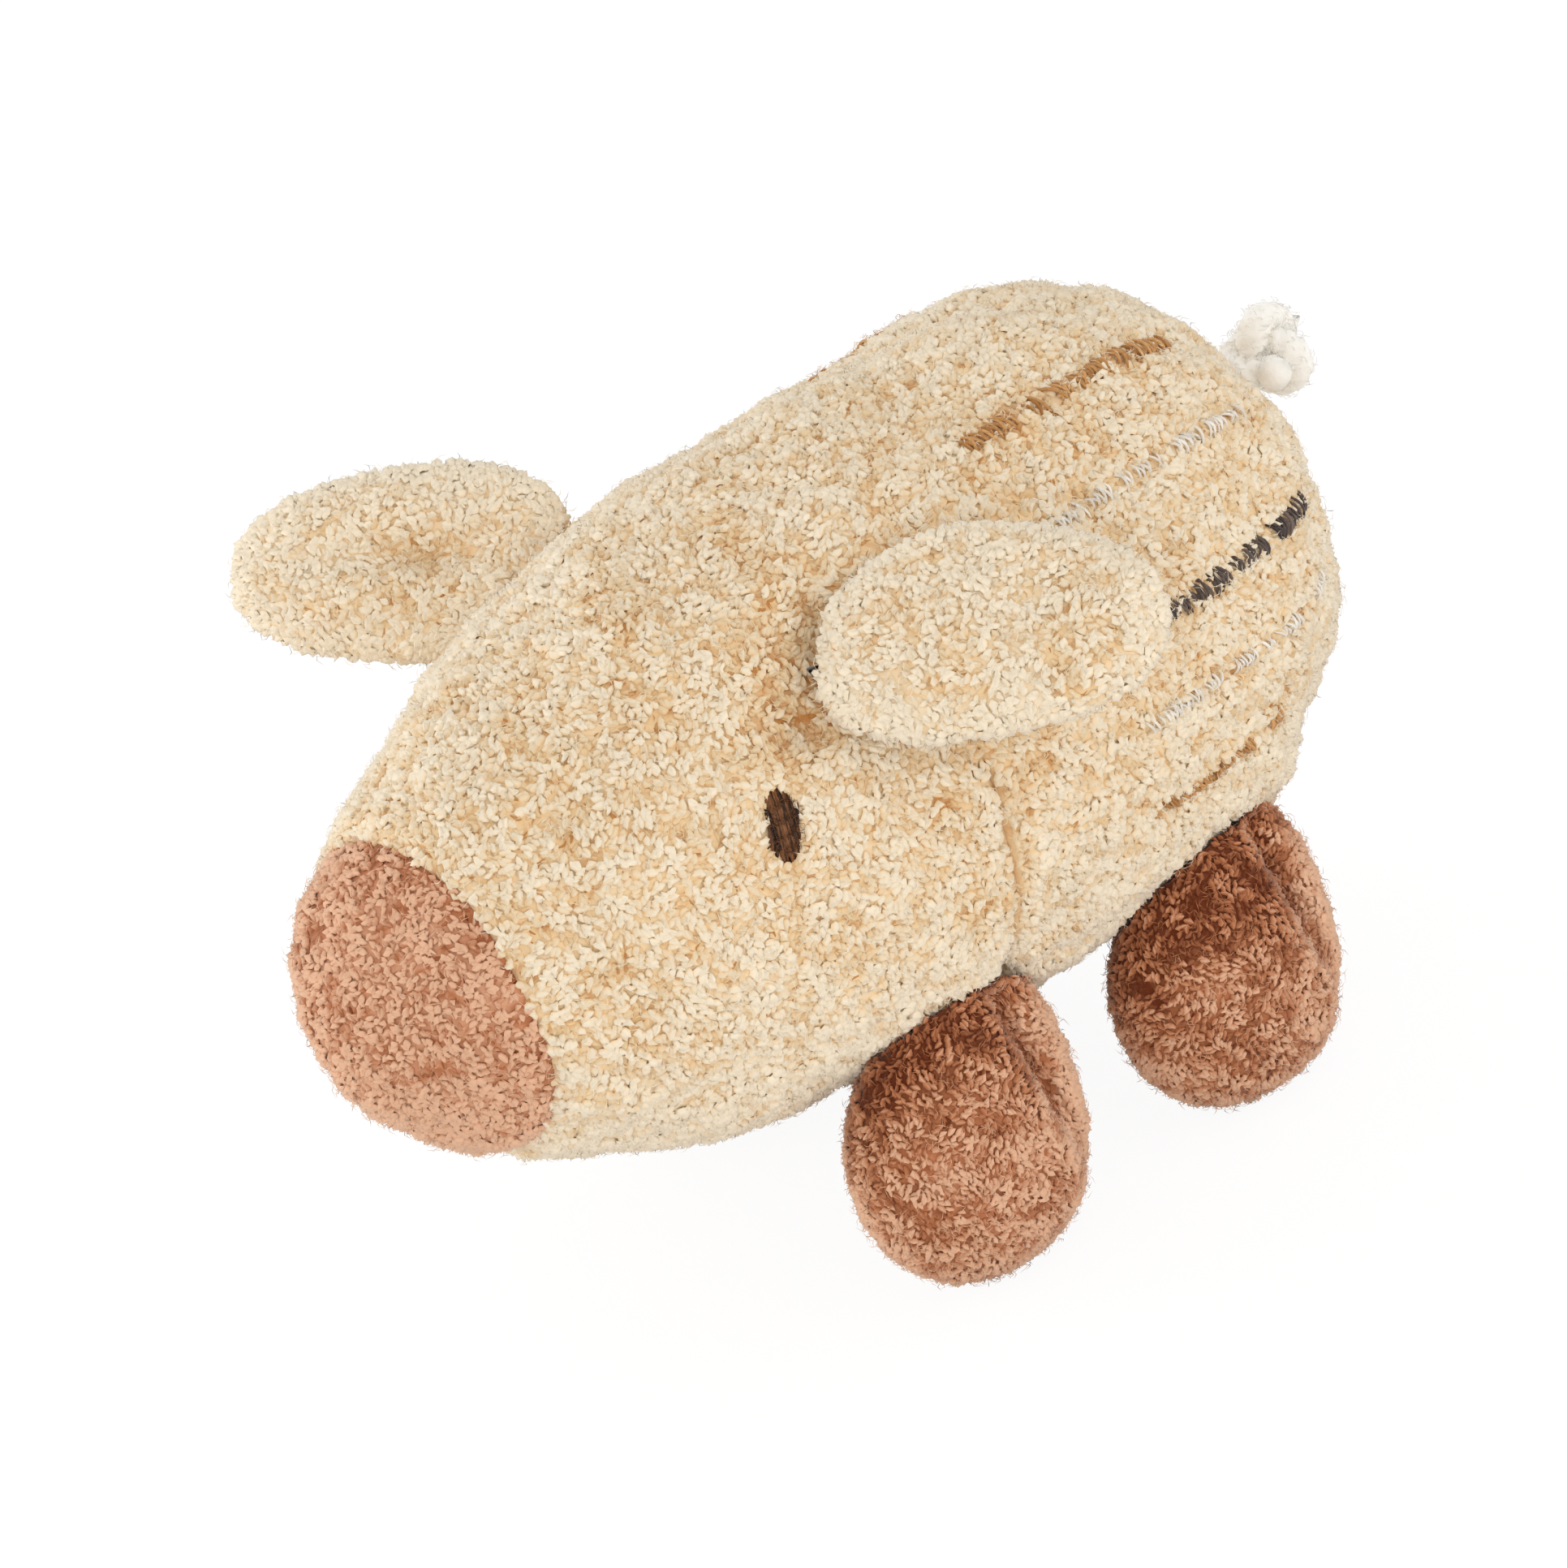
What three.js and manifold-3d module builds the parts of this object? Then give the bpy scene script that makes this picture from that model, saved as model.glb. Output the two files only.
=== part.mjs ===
// A stuffed piglet of looped terry, standing on four stuffed feet: a snout cap, a head cover, a torso
// cover and a belly panel are sewn round one stuffing, and the legs, ears and tail are sewn on at seams.
// Millimetres. While it is built, Y runs from the tip of the snout to the rump and Z is measured from
// the body's axis; at the end the whole piglet is lifted onto the floor and centred.
import * as THREE from 'three';
import { mergeVertices } from 'three/addons/utils/BufferGeometryUtils.js';
import Module from 'manifold-3d';

const wasm = await Module();
wasm.setup();

// Body: a long nose half and a short, blunt rump half that meet at the girth
const girthRadius = 48.3; // radius at the widest place
const noseLength = 115; // snout tip to the widest place
const rumpLength = 58; // widest place to the end of the rump
const noseFullness = 2; // exponent of the nose half's outline, 2 is an ellipse
const rumpFullness = 3.2; // exponent of the rump half's outline, more is blunter
const bellyHeight = 23.3; // lowest line of the belly above the floor
const axisHeight = girthRadius + bellyHeight; // body's axis above the floor

// Fabric
const terryThickness = 2.4; // looped terry with its pile
const seamGap = 0.3; // between pieces that are sewn or laid together

// Seams round the body, measured from the snout tip
const snoutSeam = 16.5;
const neckSeam = 86.5;
const bellyFrontEnd = 26; // where the belly panel starts
const bellyRearEnd = 160; // where it ends
const bellyHalfWidth = 36.5; // half the belly panel's width in plan
const bellyFullness = 3.4; // exponent of the panel's outline in plan

// Eyes and stripes are satin stitch, worked on the covers
const stitchHeight = 0.8;
const eyeHeight = 11.6;
const eyeWidth = 4.6;
const eyeAngle = 68.6; // degrees from the top of the body
const eyePlace = 55.6; // from the snout tip
const stripeWidth = 3.2;
const stripeStart = 113; // from the snout tip
const stripeEnd = 158;
const lowStripeEnd = 144; // the lowest stripe stops before the leg
const stripeKinds = [
  { name: 'upper_brown', angle: 31, end: stripeEnd, colour: 0xb0743c },
  { name: 'upper_white', angle: 51.5, end: stripeEnd, colour: 0xe9e1d6 },
  { name: 'dark', angle: 73.5, end: stripeEnd, colour: 0x4a3a34 },
  { name: 'lower_white', angle: 90, end: stripeEnd, colour: 0xe9e1d6 },
  { name: 'lower_amber', angle: 108, end: lowStripeEnd, colour: 0xb98648 },
];

// Legs: puffed pads that hang from the edge of the belly panel
const legSeamAngle = 127; // degrees from the top of the body
const frontLegPlace = 73.6; // from the snout tip
const rearLegPlace = 126.3;
const legHalfWidth = 19.5; // front to back
const legHalfThickness = 10.2;
const legFullness = 2.3; // exponent of the outline
const legSwellShare = 0.16; // the foot is thicker than the middle by this share
const legWidenShare = 0.13; // and wider by this share
const legInset = 3.6; // the leg's middle stands this far inside its seam line
const legRise = 3; // the leg's form reaches this far above its seam line
const soleFlat = 0.5; // depth of the flat that the foot stands on
const legSlit = 1.2; // opening in the sewn top, where the stuffing went in
const legIn = 12; // degrees that a leg can fold under the belly
const legOut = 35; // degrees that it can swing outwards
// The front right leg isn't straight down: it stands out and trails back, by degrees
const farSplay = 18;
const farTrail = 17;

// Ears: two panels each, sewn along a slanting line on the head
const earBackAngle = 39; // upper end of the line, degrees from the top of the body
const earBackPlace = 87.6;
const earFrontAngle = 54; // lower end of the line
const earFrontPlace = 68.6;
const earHalfLength = 26.4;
const earHalfWidth = 16.2;
const earHalfThickness = 6.4;
const earFullness = 2.2;
const earTaperShare = 0.14; // share by which the ear narrows from its middle to its tip
const earSunk = 4; // length of the ear that the body's curve cuts away at its seam
const earFold = 12; // degrees that an ear folds down from its rest place
const earLift = 30; // degrees that it lifts
// Where each ear points: out, back along the body and up
const earPoses = {
  left: new THREE.Vector3(0.83, 0.55, -0.08),
  right: new THREE.Vector3(-0.83, -0.55, 0.09),
};

// Tail: a cotton cord in one knot
const cordRadius = 2.3;
const tailRootHeight = 5; // above the body's axis
const tailStem = 20; // root to the middle of the knot
const tailRise = 22; // degrees that the stem climbs
const turnRadius = 4.5; // the cord's middle round each turn of the knot
const cordEnd = 8; // middle of the knot to the end of each loose end
const tailDrop = 25; // degrees that the tail bends down from its rest place
const tailLift = 35; // degrees that it bends up

// Facets
const bodySides = 40;
const bodySteps = 26;
const stuffingSides = 24;
const stuffingSteps = 14;
const padSides = 22;
const padRings = 11;
const smallSides = 12;
const smallRings = 6;
const planSteps = 32;

const cream = new THREE.MeshStandardMaterial({ color: 0xe6d0ae, roughness: 0.95 });
const terracotta = new THREE.MeshStandardMaterial({ color: 0xbe8464, roughness: 0.95 });
const filling = new THREE.MeshStandardMaterial({ color: 0xf4f2ee, roughness: 1 });
const cotton = new THREE.MeshStandardMaterial({ color: 0xf0ebe2, roughness: 0.9 });
const eyeThread = new THREE.MeshStandardMaterial({ color: 0x4a2f22, roughness: 0.6 });

const radians = THREE.MathUtils.degToRad;
const piglet = new THREE.Group();

// A closed geometry as a solid that can be cut and joined
function solidOf(geometry) {
  const bare = geometry.clone();
  bare.deleteAttribute('normal');
  bare.deleteAttribute('uv');
  const merged = mergeVertices(bare);
  const corners = merged.index.array;
  const kept = [];
  for (let i = 0; i < corners.length; i += 3) {
    const [a, b, c] = corners.slice(i, i + 3);
    if (a !== b && b !== c && c !== a) kept.push(a, b, c);
  }
  return new wasm.Manifold(new wasm.Mesh({
    numProp: 3,
    vertProperties: new Float32Array(merged.attributes.position.array),
    triVerts: new Uint32Array(kept),
  }));
}

// A solid as a mesh of the piglet, seen from a group that stands at place
function addPiece(parent, name, solid, material, place = new THREE.Vector3()) {
  const shape = solid.getMesh();
  const geometry = new THREE.BufferGeometry();
  geometry.setAttribute('position', new THREE.BufferAttribute(shape.vertProperties, 3));
  geometry.setIndex(new THREE.BufferAttribute(shape.triVerts, 1));
  geometry.translate(-place.x, -place.y, -place.z);
  geometry.computeVertexNormals();
  const mesh = new THREE.Mesh(geometry, material);
  mesh.name = name;
  parent.add(mesh);
}

// The body's outline moved out by grow, as radius and place, at turn 0 (snout) to pi (rump)
function outlineAt(turn, grow) {
  const nose = turn < Math.PI / 2;
  const power = 2 / (nose ? noseFullness : rumpFullness);
  const reach = (nose ? noseLength : rumpLength) + grow;
  const along = Math.abs(Math.cos(turn)) ** power;
  const radius = (girthRadius + grow) * Math.max(0, Math.sin(turn)) ** power;
  return new THREE.Vector2(radius, noseLength + (nose ? -reach : reach) * along);
}

// The turn at which that outline passes a place along the body
function turnAt(place, grow) {
  const nose = place < noseLength;
  const reach = (nose ? noseLength : rumpLength) + grow;
  const share = Math.min(1, Math.abs(place - noseLength) / reach);
  const along = share ** ((nose ? noseFullness : rumpFullness) / 2);
  return Math.acos(nose ? along : -along);
}

// The whole body as a solid of revolution, moved out by grow
function bodyGeometry(grow, sides = bodySides, steps = bodySteps) {
  const points = [];
  for (let i = 0; i <= steps; i++) {
    const point = outlineAt((Math.PI * i) / steps, grow);
    if (i === 0 || i === steps) point.x = 0;
    points.push(point);
  }
  return new THREE.LatheGeometry(points, sides);
}

// A hollow skin over the whole body, between two distances from its surface
function skinSolid(outer, inner) {
  return solidOf(bodyGeometry(outer)).subtract(solidOf(bodyGeometry(inner)));
}

// A slab across the body between two places
function slab(from, to) {
  const size = girthRadius * 4;
  return solidOf(new THREE.BoxGeometry(size, to - from, size).translate(0, (from + to) / 2, 0));
}

// A point above the body's surface, at an angle from its top and a place along it
function surfacePoint(angle, place, height) {
  const radius = outlineAt(turnAt(place, 0), 0).x + height;
  return new THREE.Vector3(radius * Math.sin(angle), place, radius * Math.cos(angle));
}

// Each vertex of a geometry moved to where a function puts it
function reshaped(geometry, move) {
  const positions = geometry.attributes.position;
  const point = new THREE.Vector3();
  for (let i = 0; i < positions.count; i++) {
    move(point.fromBufferAttribute(positions, i));
    positions.setXYZ(i, point.x, point.y, point.z);
  }
  return geometry;
}

// A puffed pad: half sizes (wide, tall, thick), an outline exponent, and how the form swells and
// tapers towards the tall axis' positive end. X is wide, Y is tall and Z is thick.
function padGeometry(half, fullness, { swell = 0, taper = 0, sides = padSides, rings = padRings } = {}) {
  const round = new THREE.SphereGeometry(1, sides, rings).rotateX(Math.PI / 2);
  return reshaped(round, (p) => {
    const spread = Math.hypot(p.x, p.y);
    if (spread > 0) {
      const [c, s] = [p.x / spread, p.y / spread];
      const outline = (Math.abs(c) ** fullness + Math.abs(s) ** fullness) ** (-1 / fullness);
      p.x *= outline;
      p.y *= outline;
    }
    p.z *= 1 + swell * p.y;
    p.x *= 1 - taper * p.y;
    p.set(p.x * half.x, p.y * half.y, p.z * half.z);
  });
}

// The body, grown by the gap of a seam and turned about a hinge line, as a limb's swing meets it
function bodyTurned(hinge, axis, angle, grow) {
  const turn = new THREE.Matrix4().makeTranslation(hinge)
    .multiply(new THREE.Matrix4().makeRotationAxis(axis, angle))
    .multiply(new THREE.Matrix4().makeTranslation(hinge.clone().negate()));
  return solidOf(bodyGeometry(grow).applyMatrix4(turn));
}

// A limb cut clear of the body over its swing, between two angles in degrees either side of rest
function clearOfBody(limb, hinge, axis, lowest, highest, grow = seamGap) {
  let cut = limb;
  for (const swing of [lowest, lowest / 2, 0, highest / 2, highest]) {
    cut = cut.subtract(bodyTurned(hinge, axis, -radians(swing), grow));
  }
  return cut;
}

// A group that stands at a limb's hinge and keeps the hinge's direction for the reader
function hingeGroup(name, hinge, axis) {
  const group = new THREE.Group();
  group.name = name;
  group.position.copy(hinge);
  group.userData.hingeAxis = axis.toArray();
  piglet.add(group);
  return group;
}

// A block under the body whose outline in plan is the belly panel's, moved out by margin
function panelPlan(margin) {
  const middle = (bellyFrontEnd + bellyRearEnd) / 2;
  const halfLength = (bellyRearEnd - bellyFrontEnd) / 2 + margin;
  const power = 2 / bellyFullness;
  const bulge = (value) => Math.sign(value) * Math.abs(value) ** power;
  const shape = new THREE.Shape();
  for (let i = 0; i < planSteps; i++) {
    const turn = (2 * Math.PI * i) / planSteps;
    const x = (bellyHalfWidth + margin) * bulge(Math.cos(turn));
    const y = middle + halfLength * bulge(Math.sin(turn));
    if (i === 0) shape.moveTo(x, y);
    else shape.lineTo(x, y);
  }
  const depth = girthRadius * 2;
  const plan = new THREE.ExtrudeGeometry(shape, { depth, bevelEnabled: false });
  return solidOf(plan.translate(0, 0, -depth));
}

// Body: covers, belly panel and stuffing
function addBody() {
  const skin = skinSolid(0, -terryThickness);
  const hole = panelPlan(seamGap / 2);
  const half = seamGap / 2;
  const bodyEnd = noseLength + rumpLength + seamGap;
  addPiece(piglet, 'snout_cover', skin.intersect(slab(-seamGap, snoutSeam - half)), terracotta);
  const head = skin.intersect(slab(snoutSeam + half, neckSeam - half)).subtract(hole);
  addPiece(piglet, 'head_cover', head, cream);
  const torso = skin.intersect(slab(neckSeam + half, bodyEnd)).subtract(hole);
  addPiece(piglet, 'torso_cover', torso, cream);
  addPiece(piglet, 'belly_panel', skin.intersect(panelPlan(-half)), cream);
  const stuffing = bodyGeometry(-terryThickness - seamGap - seamGap, stuffingSides, stuffingSteps);
  addPiece(piglet, 'body_stuffing', solidOf(stuffing), filling);
}

// Eyes: padded ovals of satin stitch that stand upright on the sides of the head
function addEyes() {
  for (const [side, sign] of [['left', 1], ['right', -1]]) {
    const round = new THREE.SphereGeometry(1, smallSides, smallRings).rotateX(Math.PI / 2);
    const angle = sign * radians(eyeAngle);
    const radius = surfacePoint(0, eyePlace, 0).z;
    const eye = reshaped(round, (p) => {
      const height = seamGap + (stitchHeight * (p.z + 1)) / 2;
      const place = eyePlace - (p.x * eyeWidth) / 2;
      p.copy(surfacePoint(angle + (p.y * eyeHeight) / 2 / radius, place, height));
    });
    addPiece(piglet, `${side}_eye`, solidOf(eye), eyeThread);
  }
}

// Stripes: bands of satin stitch along the flanks and rump
function addStripes() {
  const stitched = skinSolid(seamGap + stitchHeight, seamGap);
  for (const [side, sign] of [['left', 1], ['right', -1]]) {
    for (const { name, angle, end, colour } of stripeKinds) {
      const block = new THREE.BoxGeometry(stripeWidth, end - stripeStart, girthRadius)
        .translate(0, (stripeStart + end) / 2, girthRadius).rotateY(sign * radians(angle));
      const thread = new THREE.MeshStandardMaterial({ color: colour, roughness: 0.6 });
      addPiece(piglet, `${side}_${name}_stripe`, stitched.intersect(solidOf(block)), thread);
    }
  }
}

// Leg: a cover that is open at its sewn top, round its own stuffing, flat where it stands. It leans
// from its seam by the degrees that it stands out and trails back.
function addLeg(name, sign, place, splay = 0, trail = 0) {
  const hinge = surfacePoint(sign * radians(legSeamAngle), place, seamGap);
  const axis = new THREE.Vector3(0, sign, 0);
  // A lean brings the pad's rounded rim down, so its length follows from how low its form reaches
  const upright = Math.cos(radians(splay)) * Math.cos(radians(trail));
  const reach = hinge.z + legRise * upright + axisHeight + soleFlat;
  const footThickness = legHalfThickness * (1 + legSwellShare);
  const rim = Math.hypot(footThickness * Math.sin(radians(splay)), legHalfWidth * Math.sin(radians(trail)));
  const tallest = (reach ** 2 - rim ** 2) / (2 * reach) / upright;
  const middle = hinge.clone().add(new THREE.Vector3(-sign * legInset, 0, legRise - tallest));
  const lean = new THREE.Matrix4().makeTranslation(hinge)
    .multiply(new THREE.Matrix4().makeRotationX(radians(trail)))
    .multiply(new THREE.Matrix4().makeRotationAxis(axis, -radians(splay)))
    .multiply(new THREE.Matrix4().makeTranslation(hinge.clone().negate()));
  // The pad's wide side runs along the body, its tall side down and its thick side outwards
  const stand = new THREE.Matrix4().makeBasis(
    new THREE.Vector3(0, -sign, 0), new THREE.Vector3(0, 0, -1), new THREE.Vector3(sign, 0, 0),
  ).setPosition(middle).premultiply(lean);
  const pad = (shrink, options) => {
    const half = new THREE.Vector3(legHalfWidth, tallest, legHalfThickness).subScalar(shrink);
    const form = { swell: legSwellShare, taper: -legWidenShare, ...options };
    return solidOf(padGeometry(half, legFullness, form).applyMatrix4(stand));
  };
  const slit = solidOf(new THREE.BoxGeometry(legSlit, legHalfWidth, tallest)
    .translate(middle.x, middle.y, middle.z + tallest / 2 + terryThickness).applyMatrix4(lean));
  const below = solidOf(new THREE.BoxGeometry(legHalfWidth * 4, legHalfWidth * 4, tallest)
    .translate(middle.x, middle.y, -axisHeight - tallest / 2));
  const inner = { sides: smallSides, rings: smallRings };
  const hollow = pad(0).subtract(pad(terryThickness, inner)).subtract(slit);
  const [out, inwards] = [legOut - splay, legIn + splay];
  const cover = clearOfBody(hollow, hinge, axis, -out, inwards);
  const fill = pad(terryThickness + seamGap, inner);
  const stuffing = clearOfBody(fill, hinge, axis, -out, inwards, terryThickness);
  const group = hingeGroup(name, hinge, axis);
  addPiece(group, `${name}_cover`, cover.subtract(below), terracotta, hinge);
  addPiece(group, `${name}_stuffing`, stuffing, filling, hinge);
}

// Ear: a front and a back panel that meet at the rim, cut to the head along their seam
function addEar(side, sign) {
  const back = surfacePoint(sign * radians(earBackAngle), earBackPlace, seamGap);
  const front = surfacePoint(sign * radians(earFrontAngle), earFrontPlace, seamGap);
  const hinge = back.clone().add(front).multiplyScalar(1 / 2);
  const axis = front.clone().sub(back).normalize().multiplyScalar(sign);
  const points = earPoses[side].clone().normalize();
  const faces = new THREE.Vector3().crossVectors(axis, points).normalize();
  const across = new THREE.Vector3().crossVectors(points, faces);
  const middle = hinge.clone().addScaledVector(points, earHalfLength - earSunk);
  const lay = new THREE.Matrix4().makeBasis(across, points, faces).setPosition(middle);
  const pad = (shrink, options) => {
    const half = new THREE.Vector3(earHalfWidth, earHalfLength, earHalfThickness).subScalar(shrink);
    return solidOf(padGeometry(half, earFullness, { taper: earTaperShare, ...options }).applyMatrix4(lay));
  };
  const reach = earHalfLength * 4;
  const halfSpace = (way) => solidOf(new THREE.BoxGeometry(reach, reach, reach)
    .translate(0, 0, (way * (reach + seamGap)) / 2).applyMatrix4(lay));
  const hollow = pad(0).subtract(pad(terryThickness, { sides: smallSides, rings: smallRings }));
  const sewn = clearOfBody(hollow, hinge, axis, -earFold, earLift);
  const group = hingeGroup(`${side}_ear`, hinge, axis);
  addPiece(group, `${side}_ear_front`, sewn.intersect(halfSpace(1)), cream, hinge);
  addPiece(group, `${side}_ear_back`, sewn.intersect(halfSpace(-1)), cream, hinge);
}

// Tail: a cord stem that ends in two crossed turns of the cord with two loose ends
function addTail() {
  const hinge = new THREE.Vector3(0, noseLength + rumpLength + seamGap, tailRootHeight);
  const way = new THREE.Vector3(0, Math.cos(radians(tailRise)), Math.sin(radians(tailRise)));
  const knot = hinge.clone().addScaledVector(way, tailStem);
  const place = (geometry) => solidOf(geometry.translate(knot.x, knot.y, knot.z));
  const stem = new THREE.CylinderGeometry(cordRadius, cordRadius, tailStem, smallSides)
    .rotateX(radians(tailRise)).translate(0, (hinge.y - knot.y) / 2, (hinge.z - knot.z) / 2);
  let tail = place(stem);
  for (const turn of [45, -45]) {
    const ring = new THREE.TorusGeometry(turnRadius, cordRadius, smallRings, smallSides);
    tail = tail.add(place(ring.rotateX(Math.PI / 2).rotateY(radians(turn)).rotateX(radians(tailRise))));
    const end = new THREE.CapsuleGeometry(cordRadius, cordEnd - cordRadius, 3, smallSides)
      .translate(0, (cordEnd - cordRadius) / 2, 0).rotateX(Math.PI / 2 + radians(turn));
    tail = tail.add(place(end));
  }
  tail = tail.add(place(new THREE.SphereGeometry(turnRadius, smallSides, smallRings)));
  const axis = new THREE.Vector3(1, 0, 0);
  const group = hingeGroup('tail_root', hinge, axis);
  addPiece(group, 'tail', clearOfBody(tail, hinge, axis, -tailDrop, tailLift), cotton, hinge);
}

addBody();
addEyes();
addStripes();
addLeg('front_left_leg', 1, frontLegPlace);
addLeg('front_right_leg', -1, frontLegPlace, farSplay, farTrail);
addLeg('rear_left_leg', 1, rearLegPlace);
addLeg('rear_right_leg', -1, rearLegPlace);
addEar('left', 1);
addEar('right', -1);
addTail();

// The piglet stands on the floor, with the middle of its length and width over the origin
const bounds = new THREE.Box3().setFromObject(piglet);
const centre = bounds.getCenter(new THREE.Vector3());
piglet.position.set(-centre.x, -centre.y, axisHeight);

export default piglet;
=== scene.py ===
import bpy
import numpy as np
from mathutils import Matrix, Vector


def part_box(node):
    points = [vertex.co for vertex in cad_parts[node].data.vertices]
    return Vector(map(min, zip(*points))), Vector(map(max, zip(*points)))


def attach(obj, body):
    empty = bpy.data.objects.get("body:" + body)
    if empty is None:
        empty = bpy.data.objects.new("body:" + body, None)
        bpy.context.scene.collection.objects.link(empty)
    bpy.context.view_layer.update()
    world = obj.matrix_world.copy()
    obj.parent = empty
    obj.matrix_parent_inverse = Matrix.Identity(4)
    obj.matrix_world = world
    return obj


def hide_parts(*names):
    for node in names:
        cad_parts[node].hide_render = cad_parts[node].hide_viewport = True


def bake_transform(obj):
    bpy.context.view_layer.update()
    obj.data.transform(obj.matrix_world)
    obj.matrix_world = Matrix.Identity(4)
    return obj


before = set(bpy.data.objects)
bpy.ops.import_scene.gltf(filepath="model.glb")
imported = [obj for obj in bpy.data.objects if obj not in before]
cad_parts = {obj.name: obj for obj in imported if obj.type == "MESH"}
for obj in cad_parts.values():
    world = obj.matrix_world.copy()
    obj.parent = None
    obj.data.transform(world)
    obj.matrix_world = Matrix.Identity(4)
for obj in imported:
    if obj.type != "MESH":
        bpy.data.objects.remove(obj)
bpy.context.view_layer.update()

# The view: a long lens looks down on the piglet's left cheek, and the camera leans to one side,
# which makes the snout dip in the picture.
MM = 0.001
VIEW_AZIMUTH, VIEW_ELEVATION, VIEW_LEAN = np.radians([56, 27, 16.89])
VIEW_TARGET = Vector((-0.00024, -0.01523, 0.06821))
VIEW_DISTANCE = 0.884
LENS = 140

back = Vector((
    np.sin(VIEW_AZIMUTH) * np.cos(VIEW_ELEVATION),
    -np.cos(VIEW_AZIMUTH) * np.cos(VIEW_ELEVATION),
    np.sin(VIEW_ELEVATION),
))
level = Vector((np.cos(VIEW_AZIMUTH), np.sin(VIEW_AZIMUTH), 0))
upright = back.cross(level)
picture_right = np.cos(VIEW_LEAN) * level - np.sin(VIEW_LEAN) * upright
picture_up = np.sin(VIEW_LEAN) * level + np.cos(VIEW_LEAN) * upright
camera = bpy.data.objects.new("camera", bpy.data.cameras.new("camera"))
camera.data.lens = LENS
camera.data.clip_start, camera.data.clip_end = 0.05, 20
turned = Matrix((picture_right, picture_up, back)).transposed()
camera.matrix_world = Matrix.Translation(VIEW_TARGET + back * VIEW_DISTANCE) @ turned.to_4x4()
bpy.context.scene.collection.objects.link(camera)
bpy.context.scene.camera = camera

# Body form: one stuffed shape, a long nose half and a short blunt rump half that meet at the girth.
# The fabric pulls in at every seam and where the ears are sewn on, and the filling makes it a little
# uneven.
GIRTH_RADIUS, NOSE_LENGTH, RUMP_LENGTH = 48.3, 115.0, 58.0
NOSE_FULLNESS, RUMP_FULLNESS = 2.0, 3.2
SNOUT_SEAM, NECK_SEAM = 16.5, 86.5
BELLY_FRONT, BELLY_REAR, BELLY_HALF_WIDTH, BELLY_FULLNESS = 26.0, 160.0, 36.5, 3.4
BELLY_MIDDLE, BELLY_HALF_LENGTH = (BELLY_FRONT + BELLY_REAR) / 2, (BELLY_REAR - BELLY_FRONT) / 2
GROUND = -0.68  # the woven ground lies this far under the tips of the pile
CLOTH = 1.0  # thickness of the woven ground
SEAM_REACH = 1.9  # the fabric turns in towards a seam over this width
SNOUT_SEAM_DEPTH, NECK_SEAM_DEPTH, BELLY_SEAM_DEPTH = 0.9, 1.3, 0.4
NECK_SHOWN = np.radians([70, 84])  # the neck seam is pulled in only lower on the sides than this
EAR_DIP_ENDS, EAR_DIP_REACH, EAR_DIP_DEPTH = ((40, 79), (54, 65.5)), 6.0, 4.8  # (angle, place) of its ends
SETTLED = (  # where the filling has settled: a place on the body, the reach across and along, and the depth
    ((-21.8, 121.0, 42.8), 26.0, 30.0, 4.4),
    ((-23.8, 41.0, 28.3), 16.0, 11.0, 2.0),
    ((35.6, 155.0, -24.0), 14.0, 12.0, 2.2),
    ((14.3, 40.0, -33.6), 18.0, 16.0, -1.9),
    ((-8.5, 3.0, -5.0), 13.0, 8.0, -1.3),
)
LUMPS = ((0.45, 26, 11), (0.22, 9, 12))  # lumps of the filling: their height, size and seed

snout_low, snout_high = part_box("snout_cover")
ORIGIN = np.array([
    (snout_low.x + snout_high.x) / 2, snout_low.y, (snout_low.z + snout_high.z) / 2,
])


def in_frame(points):
    """Millimetres from the snout tip and the body's axis, as metres in the frame."""
    return ORIGIN + points * MM


def unit(vectors):
    """Vectors at length 1."""
    return vectors / np.maximum(np.linalg.norm(vectors, axis=-1, keepdims=True), 1e-9)


def waves(points, size, seed):
    """Smooth random relief: a sum of 32 cosine waves about one length long, in random directions,
    scaled to a spread of 1."""
    rng = np.random.default_rng(seed)
    ways = unit(rng.normal(size=(32, 3))) * (2 * np.pi / size) * rng.uniform(0.7, 1.4, (32, 1))
    return np.cos(points @ ways.T + rng.uniform(0, 2 * np.pi, 32)).sum(-1) / 4


def relief(points, parts):
    """The sum of the waves of each (height, size, seed) in parts."""
    return sum(height * waves(points, size, seed) for height, size, seed in parts)


def fade(distance, reach):
    """1 at no distance, and nearly 0 past the reach: exp(-(distance / reach)^2)."""
    return np.exp(-(distance / reach) ** 2)


def outline(turn, grow=0.0):
    """Radius and place of the body's outline: radius = girth * sin(turn)^(2/n) and place = girth's
    place -/+ reach * |cos(turn)|^(2/n), with n the fullness of the nose or rump half."""
    nose = turn < np.pi / 2
    power = 2 / np.where(nose, NOSE_FULLNESS, RUMP_FULLNESS)
    reach = np.where(nose, NOSE_LENGTH, RUMP_LENGTH) + grow
    along = np.abs(np.cos(turn)) ** power * reach
    radius = (GIRTH_RADIUS + grow) * np.maximum(np.sin(turn), 0) ** power
    return radius, NOSE_LENGTH + np.where(nose, -along, along)


def turn_at(place):
    """The turn at which the outline passes a place along the body."""
    nose = place < NOSE_LENGTH
    share = np.abs(place - NOSE_LENGTH) / np.where(nose, NOSE_LENGTH, RUMP_LENGTH)
    along = np.clip(share, 0, 1) ** (np.where(nose, NOSE_FULLNESS, RUMP_FULLNESS) / 2)
    return np.arccos(np.where(nose, along, -along))


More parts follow.
